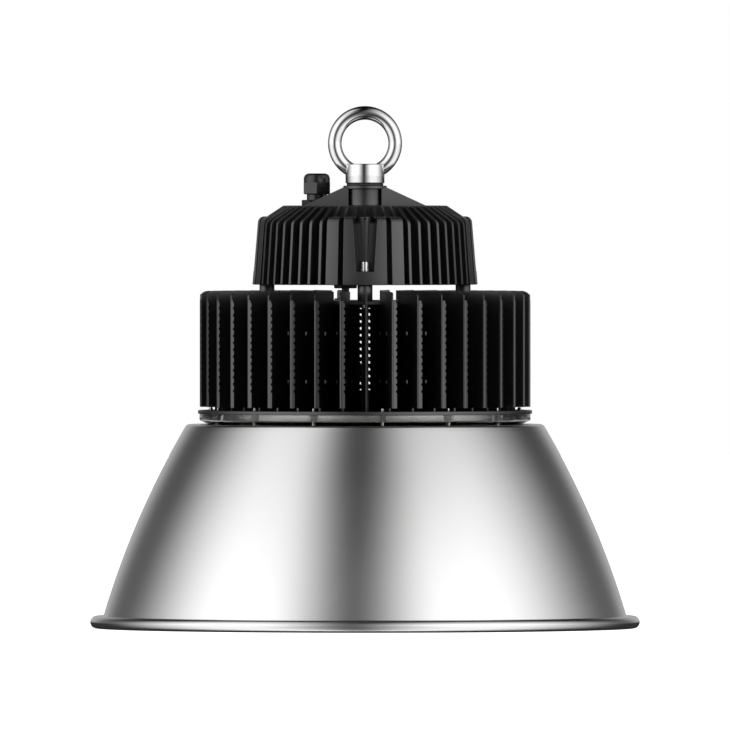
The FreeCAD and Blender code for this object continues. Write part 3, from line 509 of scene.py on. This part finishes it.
def piece(name, mesh, material, *nodes, edge=0.0, sharp=35.0):
    """An object from (points, faces) with the given finish, shown in place of the CAD nodes, which it hides.
    """
    points, faces = mesh
    data = bpy.data.meshes.new(name)
    data.from_pydata([tuple(number / 1000 for number in point) for point in points], [], faces)
    data.validate()
    data.materials.append(material)
    made = bpy.data.objects.new(name, data)
    bpy.context.scene.collection.objects.link(made)
    tidy = bmesh.new()
    tidy.from_mesh(data)
    bmesh.ops.remove_doubles(tidy, verts=tidy.verts, dist=1e-6)
    bmesh.ops.recalc_face_normals(tidy, faces=tidy.faces)
    tidy.to_mesh(data)
    tidy.free()
    data.shade_smooth()
    if edge:
        bevel = made.modifiers.new("edges", "BEVEL")
        bevel.width = edge / 1000
        bevel.segments = 2
        bevel.limit_method = "ANGLE"
        bevel.angle_limit = math.radians(sharp)
        bevel.harden_normals = True
    else:
        data.set_sharp_from_angle(angle=math.radians(sharp))
    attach(made, "root")
    if nodes:
        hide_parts(*nodes)
    print(f"{name}: {len(data.polygons)} faces")


print("helpers ready")

# %% [markdown]
# ## Reflector
# One sheet, spun over a former: a flat flange, a tight bend, a wall that bulges a little, and a rim rolled
# outwards round a wire. The roll's edge just meets the wall again and leaves the thin dark line above the
# bead. Half the section is enough, because it is turned about the axis.

# %% Reflector
SHEET = 1.5
SHOULDER, OPENING = 149.2, 127.0
BEND, BEND_LEAN, FOOT_LEAN = 4.3, math.radians(30.3), math.radians(16.3)
BEAD_RING, BEAD = 228.5, 5.3
WALL_STEPS = 40


def arc(centre, radius, first, last, steps):
    """Points of an arc from one angle to another, in degrees."""
    return [(centre[0] + radius * math.cos(math.radians(first + (last - first) * step / steps)),
             centre[1] + radius * math.sin(math.radians(first + (last - first) * step / steps)))
            for step in range(steps + 1)]


def bulge(start, end, start_lean, end_lean, steps):
    """The wall's line: leaves its start at one lean from level and meets its end at another, evenly bent."""
    chord = math.hypot(end[0] - start[0], end[1] - start[1])
    radius = chord / (2 * math.sin(abs(start_lean - end_lean) / 2))
    centre = (start[0] - radius * math.cos(start_lean), start[1] - radius * math.sin(start_lean))
    return arc(centre, radius, math.degrees(start_lean), math.degrees(end_lean), steps)


bend_level = FLANGE_TOP - BEND
bend_end = (SHOULDER + BEND * math.cos(BEND_LEAN), bend_level + BEND * math.sin(BEND_LEAN))
inset = BEAD - SHEET
rise = math.sqrt(BEAD ** 2 - inset ** 2)
foot = (BEAD_RING - inset * math.cos(FOOT_LEAN) - rise * math.sin(FOOT_LEAN),
        BEAD - inset * math.sin(FOOT_LEAN) + rise * math.cos(FOOT_LEAN))
outer_wall = bulge(bend_end, foot, BEND_LEAN, FOOT_LEAN, WALL_STEPS)
leans = [BEND_LEAN + (FOOT_LEAN - BEND_LEAN) * k / WALL_STEPS for k in range(WALL_STEPS + 1)]
inner_wall = [(r - SHEET * math.cos(tilt), z - SHEET * math.sin(tilt))
              for (r, z), tilt in zip(outer_wall, leans)]
ROLL_START, ROLL_END = 180 + math.degrees(FOOT_LEAN), 505
section = ([(OPENING, FLANGE_TOP - SHEET), (OPENING, FLANGE_TOP)]
           + arc((SHOULDER, bend_level), BEND, 90, math.degrees(BEND_LEAN), 8)
           + outer_wall[1:]
           + arc((BEAD_RING, BEAD), BEAD - SHEET, ROLL_START, ROLL_END, 30)
           + arc((BEAD_RING, BEAD), BEAD, ROLL_END, ROLL_START, 48)
           + inner_wall[::-1][1:]
           + arc((SHOULDER, bend_level), BEND - SHEET, math.degrees(BEND_LEAN), 90, 8)[1:])
piece("reflector_skin", lathe(section, 288), spun_aluminium, "reflector", sharp=50)
print("section points:", len(section))

# %% [markdown]
# ## Lower stack
# The lens is one moulding: a window inside the reflector's opening and a thick flange on top of it. Between
# its outer wall and its inner one the flange is hollow, apart from a boss round every clamp screw. Light
# that enters there bends and bounces, which is why the ring looks so busy. The black plate lies on top.

# %% Lens, plate and clamp screws
SCREW_RING, SCREW_COUNT, SCREW_TURN = 132.0, 14, 6.5
LENS_RADIUS, PLATE_RADIUS = 140.8, 142.1
CHAMBER, WINDOW_RADIUS = 115.0, 126.6
WINDOW_BOTTOM = FLANGE_TOP - 3.0
CHANNEL = (124.5, 138.6, FLANGE_TOP + 3.4)
BOSS, CHAMFER_WIDTH, CHAMFER_HEIGHT = 4.4, 7.2, 3.5
PLATE_HOLE = 6.2
CLAMP_HEAD, HEAD_ROUND, CLAMP_SHANK = 3.6, 1.6, 1.95


lens_outline = [
    (0, WINDOW_BOTTOM), (WINDOW_RADIUS, WINDOW_BOTTOM, 0.6), (WINDOW_RADIUS, FLANGE_TOP),
    (LENS_RADIUS - CHAMFER_WIDTH, FLANGE_TOP, 0.3), (LENS_RADIUS, FLANGE_TOP + CHAMFER_HEIGHT, 1.2),
    (LENS_RADIUS, LENS_TOP, 0.3),
    (CHANNEL[1], LENS_TOP, 0.3), (CHANNEL[1], CHANNEL[2], 0.5), (CHANNEL[0], CHANNEL[2], 0.5),
    (CHANNEL[0], LENS_TOP, 0.3), (CHAMBER, LENS_TOP, 0.3), (CHAMBER, FLANGE_TOP, 0.5), (0, FLANGE_TOP),
]
boss_outline = [(0, CHANNEL[2] + 0.03), (BOSS, CHANNEL[2] + 0.03), (BOSS - 0.4, LENS_TOP - 0.05),
                (0, LENS_TOP - 0.05)]
bosses = at_turns(lathe(boss_outline, 20, (0, -SCREW_RING)), around(SCREW_COUNT, SCREW_TURN))
lens_body = lathe(rounded(lens_outline, 0.0), 224)
piece("lens_moulding", joined(lens_body, *bosses), clear_lens, "lens", sharp=40)

plate_outline = rounded(ring_outline(PLATE_HOLE, PLATE_RADIUS, LENS_TOP, PLATE_TOP), 0.5)
piece("plate_skin", lathe(plate_outline, 224), dark_plate, "base_plate", sharp=50)


def threads(radius, bottom, top, pitch):
    """The zigzag outline of a thread, as (radius, level) from the bottom up."""
    count = int((top - bottom) / pitch)
    return [point for index in range(count) for point in
            ((radius, bottom + pitch * index), (radius - pitch * 0.35, bottom + pitch * (index + 0.5)))]


screw_bottom, screw_top = low("clamp_screws"), high("clamp_screws")
seat = FLANGE_TOP - SHEET
head_side = arc((CLAMP_HEAD - HEAD_ROUND, screw_bottom + HEAD_ROUND), HEAD_ROUND, -90, 0, 4)
screw_outline = ([(0, screw_bottom)] + head_side + [(CLAMP_HEAD, seat), (CLAMP_SHANK, seat)]
                 + threads(CLAMP_SHANK, seat + 0.3, screw_top - 0.6, 0.7)
                 + [(1.3, screw_top), (0, screw_top)])
clamp_screws = at_turns(lathe(screw_outline, 16, (0, -SCREW_RING)), around(SCREW_COUNT, SCREW_TURN))
piece("clamp_screw_set", joined(*clamp_screws), bright_screw, "clamp_screws", sharp=50)

# %% [markdown]
# ## Heat sink fins
# Each fin is one strip of sheet on edge. Its inner and outer edges are folded over. The outer fold has a row
# of notches on its free edge, and the inner one has a row of slots through its bend, where light shows
# between the fins. Such a sheet is easiest as a grid: columns follow the strip round its folds and rows go
# up it.

# %% One fin as a grid of cells
FIN_SHEET, FIN_INNER, FIN_OUTER = 1.5, 25.0, 142.6
FOLD_TURN, FOLD_WIDTH, INNER_WIDTH = math.radians(16.8), 4.8, 3.6
FIN_BEND = 1.5
FOOT_STEP, FOOT_REACH = 2.9, 127.8
NOTCH_COUNT, NOTCH_PITCH, NOTCH_BOTTOM = 14, 5.84, 16.0
NOTCH_HEIGHT, NOTCH_DEPTH = 2.1, 1.0
SLOT_REACH, SLOT_WIDTH = FIN_INNER + 9.0, 1.3
DISC_RADIUS, CORNER = 89.8, 7.2
HOLE_RADII, HOLE_LEVELS, HOLE = (81.0, 114.0), (25.0, 66.1), 2.35
CREASES = (45.0, 47.6)


def strip(points, bend, steps=5):
    """Columns along a folded strip: its points with the corners bent, and the normal at each."""
    line = rounded(points, bend, steps, closed=False)
    columns = []
    for index, point in enumerate(line):
        before, after = line[max(index - 1, 0)], line[min(index + 1, len(line) - 1)]
        along = (after[0] - before[0], after[1] - before[1])
        length = math.hypot(*along)
        columns.append((point, (-along[1] / length, along[0] / length)))
    return columns


def fin_columns(outer):
    """Columns of a fin from its inner fold to its outer one, or to a plain edge at a radius."""
    inner = FIN_INNER + FIN_SHEET / 2
    free = INNER_WIDTH - FIN_SHEET / 2
    by_holes = [r + d for r in HOLE_RADII for d in (-4, -2, 0, 2, 4)]
    stops = [28.5, SLOT_REACH, 50, 70, *by_holes, DISC_RADIUS + 0.3, HOLE_RADII[1] - 12, FOOT_REACH]
    start = [(inner, free), (inner, SLOT_WIDTH), (inner, 0, 0.8)]
    if outer < FIN_OUTER - 1:
        end = [(outer, 0)]
    else:
        corner = FIN_OUTER - FIN_SHEET / 2 / math.cos(FOLD_TURN) - 0.22
        reach = FOLD_WIDTH - FIN_SHEET / 2 - 0.25
        before_fold = [(FIN_OUTER - CORNER * share, 0, 0) for share in (1.0, 0.75, 0.55, 0.4)]
        tip = [(corner - math.sin(FOLD_TURN) * d, math.cos(FOLD_TURN) * d, 0)
               for d in (reach - NOTCH_DEPTH, reach)]
        end = [*before_fold, (corner, 0, FIN_BEND), *tip]
    middle = [(r, 0, 0) for r in sorted(stops) if r < min(outer, FIN_OUTER) - 1]
    return strip([(*p[:2], p[2] if len(p) > 2 else 0) for p in (*start, *middle, *end)], 0)


notch_rows = [(NOTCH_BOTTOM + NOTCH_PITCH * k, NOTCH_BOTTOM + NOTCH_PITCH * k + NOTCH_HEIGHT)
              for k in range(NOTCH_COUNT)]
print("columns in a full fin:", len(fin_columns(FIN_OUTER)), "and notches:", len(notch_rows))


# %% [markdown]
# The cells that the press cut away are left out of the grid, and a punched hole moves its cells' corners onto
# a circle. Thickness comes last: every corner goes half a sheet to each side, and open edges are closed.


# %% Fins with thickness, holes and notches
def fin(outer, height, relief=None):
    """Points and faces of one fin that stands in front: x is across, y towards the back."""
    columns = fin_columns(outer)
    full = outer > FIN_OUTER - 1
    disc = DISC_BOTTOM - PLATE_TOP
    levels = {0.0, FOOT_STEP, disc, height, 8.0}
    levels |= {level for row in notch_rows for level in row if level < height - (CORNER if full else 0)}
    levels |= {crease + d for crease in CREASES for d in (-0.7, 0.0, 0.7)}
    if full:
        levels |= {height - CORNER, height - CORNER * 0.7, height - CORNER * 0.4, height - CORNER * 0.15}
    if relief:
        levels.add(relief[2])
    rows = sorted(levels)
    rows = [row for k, row in enumerate(rows) if k == 0 or row - rows[k - 1] > 0.15]

    def level_at(row, across):
        """Rows near the top bend down round the fin's outer corner."""
        below = height - CORNER
        if not full or row <= below:
            return row
        past = max(0.0, across - (FIN_OUTER - CORNER))
        top = below + math.sqrt(max(CORNER ** 2 - min(past, CORNER) ** 2, 0.04))
        return below + (row - below) * (top - below) / CORNER

    def cut(column, row):
        """Whether the press cut away the cell between this column and row and the next."""
        (r0, b0), (r1, b1) = columns[column][0], columns[column + 1][0]
        z0, z1 = rows[row], rows[row + 1]
        r, z = (r0 + r1) / 2, (z0 + z1) / 2
        notched = any(first - 0.01 < z < last + 0.01 for first, last in notch_rows)
        if z > disc and r < DISC_RADIUS + 0.3:
            return True
        if z < FOOT_STEP and r > FOOT_REACH:
            return True
        if full and (b0 + b1) / 2 > 0.3 and r > 100 and z > height - CORNER:
            return True
        if notched and z < disc and r < SLOT_REACH and (b0 + b1) / 2 < SLOT_WIDTH:
            return True
        if notched and full and column == len(columns) - 2:
            return True
        return bool(relief and relief[0] < r < relief[1] and z > relief[2])

    def hole_of(column, row):
        """Which punched hole, if any, this cell is in."""
        r = (columns[column][0][0] + columns[column + 1][0][0]) / 2
        z = (rows[row] + rows[row + 1]) / 2
        for centre in HOLE_RADII:
            for level in HOLE_LEVELS:
                if abs(r - centre) < 4 and abs(z - level) < 4.2 and columns[column][0][1] < 0.1:
                    return centre, level
        return None

    points, faces, index = [], [], {}

    def corner(column, row, side):
        key = (column, row, side)
        if key not in index:
            (r, b), normal = columns[column]
            z = level_at(rows[row], r)
            raised = 0.0
            if 40 < r < 122 and b < 0.1 and any(abs(rows[row] - crease) < 0.1 for crease in CREASES):
                raised = 0.35
            offset = side * FIN_SHEET / 2 + raised
            index[key] = len(points)
            points.append((r + normal[0] * offset, b + normal[1] * offset, z))
        return index[key]

    def ring(centre, key, side):
        """The point on a hole's edge that lies towards a corner of its cells."""
        name = ("hole", centre, key, side)
        if name not in index:
            (r, _), _ = columns[key[0]]
            angle = math.atan2(rows[key[1]] - centre[1], r - centre[0])
            index[name] = len(points)
            points.append((centre[0] + HOLE * math.cos(angle), side * FIN_SHEET / 2,
                           centre[1] + HOLE * math.sin(angle)))
        return index[name]

    kept, holes = set(), {}
    for column in range(len(columns) - 1):
        for row in range(len(rows) - 1):
            if cut(column, row):
                continue
            kept.add((column, row))
            centre = hole_of(column, row)
            if centre:
                holes[(column, row)] = centre
    for column, row in kept:
        square = [(column, row), (column + 1, row), (column + 1, row + 1), (column, row + 1)]
        nearby = [(column, row - 1), (column + 1, row), (column, row + 1), (column - 1, row)]
        if (column, row) in holes:
            centre = holes[(column, row)]
            for k, other in enumerate(nearby):
                if holes.get(other) == centre:
                    continue
                a, b = square[k], square[(k + 1) % 4]
                faces.append((corner(*a, 1), corner(*b, 1), ring(centre, b, 1), ring(centre, a, 1)))
                faces.append((corner(*b, -1), corner(*a, -1), ring(centre, a, -1), ring(centre, b, -1)))
                faces.append((ring(centre, a, 1), ring(centre, b, 1),
                              ring(centre, b, -1), ring(centre, a, -1)))
            continue
        faces.append(tuple(corner(*key, 1) for key in square))
        faces.append(tuple(corner(*key, -1) for key in reversed(square)))
        for k, other in enumerate(nearby):
            if other not in kept:
                a, b = square[k], square[(k + 1) % 4]
                faces.append((corner(*b, 1), corner(*a, 1), corner(*a, -1), corner(*b, -1)))
    return [(b, -r, z + PLATE_TOP) for r, b, z in points], faces


FIN_TURN, FIN_PITCH = 0.5, 9.0
FIN_HEIGHT = FIN_TOP - PLATE_TOP
full_fin = fin(FIN_OUTER, FIN_HEIGHT)
for quarter, name in enumerate(("front_right", "back_right", "back_left", "front_left")):
    turns = [FIN_TURN + quarter * 90 + FIN_PITCH * k for k in range(1, 10)]
    piece(f"fin_set_{name}", joined(*at_turns(full_fin, turns)), fin_black, f"fins_{name}", sharp=32)
SHORT_OUTER, SHORT_HEIGHT = 134.0, 98.7
narrow_fin = fin(SHORT_OUTER, SHORT_HEIGHT, (77.6, DISC_RADIUS + 0.3, DISC_BOTTOM - PLATE_TOP - 4.3))
narrow_fins = joined(*at_turns(narrow_fin, around(4, FIN_TURN)))
piece("narrow_fins", narrow_fins, fin_black, "short_fins", sharp=32)
print("faces in one fin:", len(full_fin[1]))

# %% [markdown]
# ## Disc and posts
# A disc lies on the fins, and four turned posts stand on it and carry the driver. The posts are plain
# turnings with a small round at each end.

# %% Disc and posts
DISC_BORE = 23.3
disc_outline = rounded(ring_outline(DISC_BORE, DISC_RADIUS, DISC_BOTTOM, DISC_TOP), 0.4)
piece("disc_skin", lathe(disc_outline, 160), dark_plate, "mounting_disc", sharp=50)
POST, POST_RING = 6.4, 83.4
post_outline = rounded([(0, DISC_TOP), (POST, DISC_TOP, 0.7), (POST, HOUSING_BOTTOM, 0.7),
                        (0, HOUSING_BOTTOM)], 0.0)
posts = at_turns(lathe(post_outline, 48, (0, -POST_RING)), around(4))
for post, side in zip(posts, ("front", "right", "back", "left")):
    piece(f"spacer_{side}", post, dark_plate, f"post_{side}", sharp=50)

# %% [markdown]
# ## Driver housing
# The driver's housing is one casting. Its parts are plain shapes that run into each other: a turned bell with
# its neck, tall ribs that stand clear of the bell's shoulder, low ribs above the lugs, four lugs with a slot
# for the screw, and two webs. They are made one by one and joined, and a small bevel rounds every edge as a
# casting has it.

# %% Bell, neck and ribs
FACE_RADIUS, CREST_RADIUS, BELL_FOOT, BELL_TOP = 61.0, 69.6, 78.0, 77.0
HOUSING_TOP, SHOULDER_LEVEL = HOUSING_BOTTOM + 67.1, HOUSING_BOTTOM + 52.0
LUG_TOP = HOUSING_BOTTOM + 57.9
RIM_INNER, NECK, NECK_FLANGE, NECK_FLANGE_BOTTOM = 75.4, 14.9, 18.5, NECK_TOP - 2.8
bell_outline = [
    (0, HOUSING_BOTTOM + 0.6), (RIM_INNER, HOUSING_BOTTOM + 0.6), (RIM_INNER, HOUSING_BOTTOM),
    (BELL_FOOT, HOUSING_BOTTOM, 0.8), (BELL_TOP, SHOULDER_LEVEL, 2.5), (FACE_RADIUS, HOUSING_TOP, 1.5),
    (NECK, HOUSING_TOP, 1.2), (NECK, NECK_FLANGE_BOTTOM, 0.5), (NECK_FLANGE, NECK_FLANGE_BOTTOM, 0.6),
    (NECK_FLANGE, NECK_TOP, 0.6), (0, NECK_TOP),
]
bell = lathe(rounded(bell_outline, 0.0, 4), 192)


def upright(outline, thickness, tip_thickness=None, tip=(0, 0)):
    """A flat rib in front of the axis from a (radius, level) outline; tip gives where it thins, as radii."""
    def make_point(point, t):
        share = 0.0
        if tip_thickness is not None:
            share = max(0.0, min(1.0, (point[0] - tip[0]) / (tip[1] - tip[0])))
        width = thickness + ((tip_thickness or thickness) - thickness) * share
        return ((t - 0.5) * width, -point[0], point[1])
    return prism(outline, make_point)


RIB_FOOT, RIB_TOP, RIB_STRAIGHT, RIB_ROOT = 95.8, 91.9, 50.6, FACE_RADIUS - 1.5
RIB_PITCH, RIB_START = 6, 24
bend_start = HOUSING_BOTTOM + RIB_STRAIGHT
tall_outline = rounded([
    (76.5, HOUSING_BOTTOM), (RIB_FOOT, HOUSING_BOTTOM, 0.6), (RIB_TOP + 0.2, bend_start + 3.4, 6.5),
    (CREST_RADIUS, HOUSING_TOP, 1.2), (RIB_ROOT, HOUSING_TOP), (RIB_ROOT, HOUSING_TOP - 1.5),
    (75.0, SHOULDER_LEVEL - 3)], 0.0, 5)
tall_rib = upright(tall_outline, 3.2, 2.4, (78.0, 95.0))
low_outline = [(68.0, LUG_TOP - 6.0), (83.5, LUG_TOP - 1.0), (83.5, LUG_TOP), (CREST_RADIUS, HOUSING_TOP),
               (RIB_ROOT, HOUSING_TOP), (RIB_ROOT, HOUSING_TOP - 1.5)]
low_rib = upright(low_outline, 1.8)
ribs = at_turns(tall_rib, [RIB_START + RIB_PITCH * k + side for side in around(4) for k in range(8)])
ribs += at_turns(low_rib, [RIB_PITCH * k + side for side in around(4) for k in range(-3, 4)])
print("ribs:", len(ribs))

# %% [markdown]
# A lug is a floor, two cheeks with a slot between them, and a flat panel on each side behind a narrow gap. A
# cheek's inner face leans outwards, so that a key finds the screw, and its outer face follows the ribs' tips.
# Sweeping one outline sideways between two changing limits makes all three shapes. A round boss closes the
# back of the slot.


# %% Lugs
def between(outline, start_at, end_at, steps=4):
    """A solid swept sideways, at each (radius, level) from the distance start_at to the distance end_at."""
    def make_point(point, t):
        r, z = point
        across = start_at(r, z) + (end_at(r, z) - start_at(r, z)) * t
        return (across, -math.sqrt(r * r - across * across), z)
    return prism(outline, make_point, steps)


def on_turn(degrees):
    """The distance across at a turn from the front."""
    return lambda r, z: r * math.sin(math.radians(degrees))


LUG_FLOOR, SLOT_TOP, SLOT_FLOOR = HOUSING_BOTTOM + 11.5, 10.5, 7.7
PANEL, GAP_OUTER, GAP_INNER, LUG_ROOT = 20.6, 14.1, 11.4, 70.0


def slot_edge(sign):
    """The distance across at a side of the slot: -1 for the left side, 1 for the right."""
    return lambda r, z: sign * (SLOT_FLOOR + (SLOT_TOP - SLOT_FLOOR) * (z - LUG_FLOOR)
                                / (LUG_TOP - LUG_FLOOR))


def lean(level):
    """The outer face's radius at a level: ribs and lugs share it."""
    return RIB_FOOT + (RIB_TOP - RIB_FOOT) * (level - HOUSING_BOTTOM) / RIB_STRAIGHT


panel_outline = rounded([(LUG_ROOT, HOUSING_BOTTOM), (RIB_FOOT, HOUSING_BOTTOM, 0.5),
                         (lean(LUG_TOP), LUG_TOP, 6.4), (LUG_ROOT, LUG_TOP)], 0.0, 5)
cheek_outline = rounded([(LUG_ROOT, LUG_FLOOR - 0.5), (lean(LUG_FLOOR - 0.5), LUG_FLOOR - 0.5),
                         (lean(LUG_TOP), LUG_TOP, 5.0), (LUG_ROOT, LUG_TOP)], 0.0, 5)
floor_outline = rounded([(BELL_TOP, HOUSING_BOTTOM), (RIB_FOOT, HOUSING_BOTTOM, 0.5),
                         (lean(LUG_FLOOR), LUG_FLOOR, 0.4), (BELL_TOP, LUG_FLOOR)], 0.0)
lug = []
for sign in (-1, 1):
    lug.append(between(panel_outline, on_turn(sign * GAP_OUTER), on_turn(sign * PANEL)))
    lug.append(between(cheek_outline, slot_edge(sign), on_turn(sign * GAP_INNER), 3))
lug.append(between(floor_outline, on_turn(-GAP_INNER), on_turn(GAP_INNER), 8))
BOSS_RADIUS, BOSS_RING = 8.5, 69.4
lug.append(lathe(ring_outline(0, BOSS_RADIUS, LUG_FLOOR - 0.5, LUG_TOP), 48, (0, -BOSS_RING)))
lugs = at_turns(joined(*lug), around(4))
print("solids in a lug:", len(lug))

# %% [markdown]
# The two webs brace the neck. They lie left and right of it and slope down to the top face, and each is a
# wedge: wide at the neck and narrow at its outer end.

# %% Webs and the whole casting
WEB_ROOT, WEB_REACH, WEB_TOP = 14.0, 52.0, NECK_TOP - 1.4
web_outline = [(WEB_ROOT, HOUSING_TOP - 1), (WEB_REACH, HOUSING_TOP - 1), (WEB_REACH, HOUSING_TOP),
               (18.3, WEB_TOP), (WEB_ROOT, WEB_TOP)]
webs = at_turns(upright(web_outline, 21.0, 3.0, (WEB_ROOT, WEB_REACH)), (90, -90))
piece("casting", joined(bell, *ribs, *lugs, *webs), housing_black, "driver_housing", edge=0.45)

# %% [markdown]
# ## Driver's screws, cover and glands
# Bright socket screws with washers hold the driver on its posts, down in the lugs' slots.

# %% Socket screws
HEAD, WASHER, HEAD_TOP = 4.6, 5.0, high("driver_screws")
HEAD_BOTTOM = HEAD_TOP - 5.9
washer_part = lathe(rounded([(2.6, LUG_FLOOR), (WASHER, LUG_FLOOR, 0.2), (WASHER, LUG_FLOOR + 1.1, 0.3),
                             (WASHER - 0.3, LUG_FLOOR + 1.3), (WASHER - 0.1, HEAD_BOTTOM - 1.2),
                             (WASHER - 0.1, HEAD_BOTTOM, 0.3), (2.6, HEAD_BOTTOM)], 0.0), 32, (0, -POST_RING))
TIP = low("driver_screws")
head_part = lathe(rounded([(0, TIP), (2.4, TIP), (2.4, HEAD_BOTTOM), (HEAD, HEAD_BOTTOM),
                           (HEAD, HEAD_TOP, 0.6), (2.3, HEAD_TOP, 0.2), (2.1, HEAD_TOP - 3),
                           (0, HEAD_TOP - 3)], 0.0), 32, (0, -POST_RING))
socket_screws = joined(*at_turns(joined(washer_part, head_part), around(4)))
piece("socket_screws", socket_screws, bright_screw, "driver_screws", sharp=50)

# %% [markdown]
# The supply comes in by a cable gland on top. Its nut is a hexagon with a corner in front, under a rounded
# dome with a rubber seal in it.


# %% Supply gland
def hexagon(flats, bottom, top, chamfer, centre, turn=0.0):
    """A hexagon bar with its ends chamfered, as (points, faces)."""
    corner = flats / math.sqrt(3)
    rows = [(corner - chamfer, bottom), (corner, bottom + chamfer * 0.6), (corner, top - chamfer * 0.6),
            (corner - chamfer, top)]
    angles = [math.radians(60 * k + turn) for k in range(6)]
    points = [(centre[0] + r * math.cos(angle), centre[1] + r * math.sin(angle), z)
              for r, z in rows for angle in angles]
    faces = [tuple(range(6)), tuple(range(18, 24))]
    faces += [(row * 6 + k, row * 6 + (k + 1) % 6, row * 6 + 6 + (k + 1) % 6, row * 6 + 6 + k)
              for row in range(3) for k in range(6)]
    return points, faces


GLAND, GLAND_FLATS, GLAND_ROUND = (-41.0, 27.0), 22.5, 8.6
GLAND_NECK, NUT_BOTTOM, GLAND_TOP = HOUSING_TOP + 4.8, low("gland_nut"), high("gland_nut")
SEAL_TOP = high("gland_seal")
base = hexagon(GLAND_FLATS, HOUSING_TOP - 0.2, GLAND_NECK, 0.8, GLAND)
neck = lathe(ring_outline(0, GLAND_ROUND, GLAND_NECK - 0.5, NUT_BOTTOM), 48, GLAND)
piece("gland_base", joined(base, neck), gland_plastic, "gland_body", edge=0.3)
nut = hexagon(GLAND_FLATS, NUT_BOTTOM, NUT_BOTTOM + 10.8, 1.0, GLAND, 30)
dome_outline = [(5.6, NUT_BOTTOM + 10.0), (11.2, NUT_BOTTOM + 10.0), (11.2, GLAND_TOP - 3.9, 1.2),
                (10.2, GLAND_TOP - 1.4, 1.2), (7.8, GLAND_TOP, 1.2), (6.0, GLAND_TOP, 0.3),
                (5.6, GLAND_TOP - 1.0)]
dome = lathe(rounded(dome_outline, 0.0, 6), 48, GLAND)
piece("gland_cap", joined(nut, dome), gland_plastic, "gland_nut", edge=0.3)
seal_outline = rounded([(4.5, SEAL_TOP - 8), (5.6, SEAL_TOP - 8), (5.6, SEAL_TOP - 0.6), (5.2, SEAL_TOP, 0.3),
                        (4.5, SEAL_TOP, 0.3)], 0.0)
piece("gland_rubber", lathe(seal_outline, 40, GLAND), black_rubber, "gland_seal", sharp=50)

# %% [markdown]
# ## Output lead
# A short round lead carries current from the driver's plug down the middle of the heat sink into a gland on
# the base plate. It is held at both ends and bows a little on the way. Its line is one smooth spline.

# %% Plug, lead and lower gland
PLUG_X, PLUG = -16.6, 9.8
plug_bottom = HOUSING_BOTTOM - 3.3
plug_outline = rounded([(0, plug_bottom), (PLUG, plug_bottom, 1.0), (PLUG, HOUSING_BOTTOM, 0.2),
                        (0, HOUSING_BOTTOM)], 0.0, 4)
piece("lead_plug", lathe(plug_outline, 48, (PLUG_X, 0)), black_rubber, "output_plug", sharp=50)

lead_top, lead_end = plug_bottom, high("lead_gland")
drop = lead_top - lead_end
BOW_X = -19.6
lead_points = [(PLUG_X, 1.0), (PLUG_X, 0.94), (BOW_X, 0.74), (BOW_X, 0.5), (0.5 * PLUG_X, 0.28), (0, 0.14),
               (0, 0.0)]
lead_curve = bpy.data.curves.new("lead", "CURVE")
lead_curve.dimensions = "3D"
spline = lead_curve.splines.new("NURBS")
spline.points.add(len(lead_points) - 1)
for point, (x, share) in zip(spline.points, lead_points):
    point.co = (x / 1000, 0, (lead_end + share * drop) / 1000, 1)
spline.order_u = 3
spline.use_endpoint_u = True
spline.resolution_u = 12
lead_curve.bevel_depth = 0.0032
lead_curve.bevel_resolution = 6
lead_curve.materials.append(lead_jacket)
lead = bpy.data.objects.new("lead", lead_curve)
bpy.context.scene.collection.objects.link(lead)
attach(lead, "root")
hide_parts("output_lead")

lower_hexagon = hexagon(17.0, PLATE_TOP, PLATE_TOP + 9, 0.8, (0, 0), 10)
LOWER_DOME = 7.4
lower_dome = lathe(rounded([(0, PLATE_TOP + 8), (LOWER_DOME, PLATE_TOP + 8), (LOWER_DOME, lead_end, 2.2),
                            (0, lead_end)], 0.0, 5), 40)
piece("lower_gland", joined(lower_hexagon, lower_dome), gland_plastic, "lead_gland", edge=0.3)

# %% [markdown]
# ## Eye bolt
# The eye bolt is forged and polished. Its ring runs down into a turned collar, and a thin washer lies under
# the collar on the driver's neck.

# %% Eye bolt and washer
COLLAR, COLLAR_TOP = 16.7, COLLAR_BOTTOM + 16.6
EYE_LEVEL, EYE_RING, EYE_SECTION = COLLAR_BOTTOM + 34.2, 25.7, 5.85
collar = lathe(rounded([(0, COLLAR_BOTTOM), (COLLAR, COLLAR_BOTTOM, 1.0), (COLLAR, COLLAR_TOP, 1.2),
                        (0, COLLAR_TOP)], 0.0, 5), 96)
ring_points, ring_faces = lathe([(EYE_RING + EYE_SECTION * math.cos(math.radians(10 * k)),
                                  EYE_SECTION * math.sin(math.radians(10 * k))) for k in range(36)], 144)
ring_points = [(x, z, y + EYE_LEVEL) for x, y, z in ring_points]
piece("eye", joined(collar, (ring_points, ring_faces)), polished_steel, "eye_bolt", sharp=60)
WASHER_HOLE, WASHER_RIM = 9, 15.6
washer_outline = rounded([(WASHER_HOLE, NECK_TOP), (WASHER_RIM, NECK_TOP, 0.4),
                          (WASHER_RIM, COLLAR_BOTTOM, 0.4), (WASHER_HOLE, COLLAR_BOTTOM)], 0.0)
piece("washer", lathe(washer_outline, 96), black_rubber, "eye_washer", sharp=50)

# %% [markdown]
# ## Pieces that keep their solid shape
# The parts inside the driver and behind the lens are right as they are. They only need their finish.

# %% Finishes for the kept nodes
kept = {
    "lens_gasket": black_rubber, "led_board": white_board, "led_chips": chip_yellow,
    "disc_screws": bright_screw, "driver_cover": housing_black, "cover_screws": bright_screw,
    "driver_circuit": circuit_green, "driver_transformer": transformer_wrap,
    "driver_capacitors": capacitor_sleeve, "gland_locknut": gland_plastic,
}
for node, material in kept.items():
    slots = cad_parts[node].material_slots
    for index in range(len(slots)):
        slots[index].material = material
print("kept nodes:", ", ".join(kept))
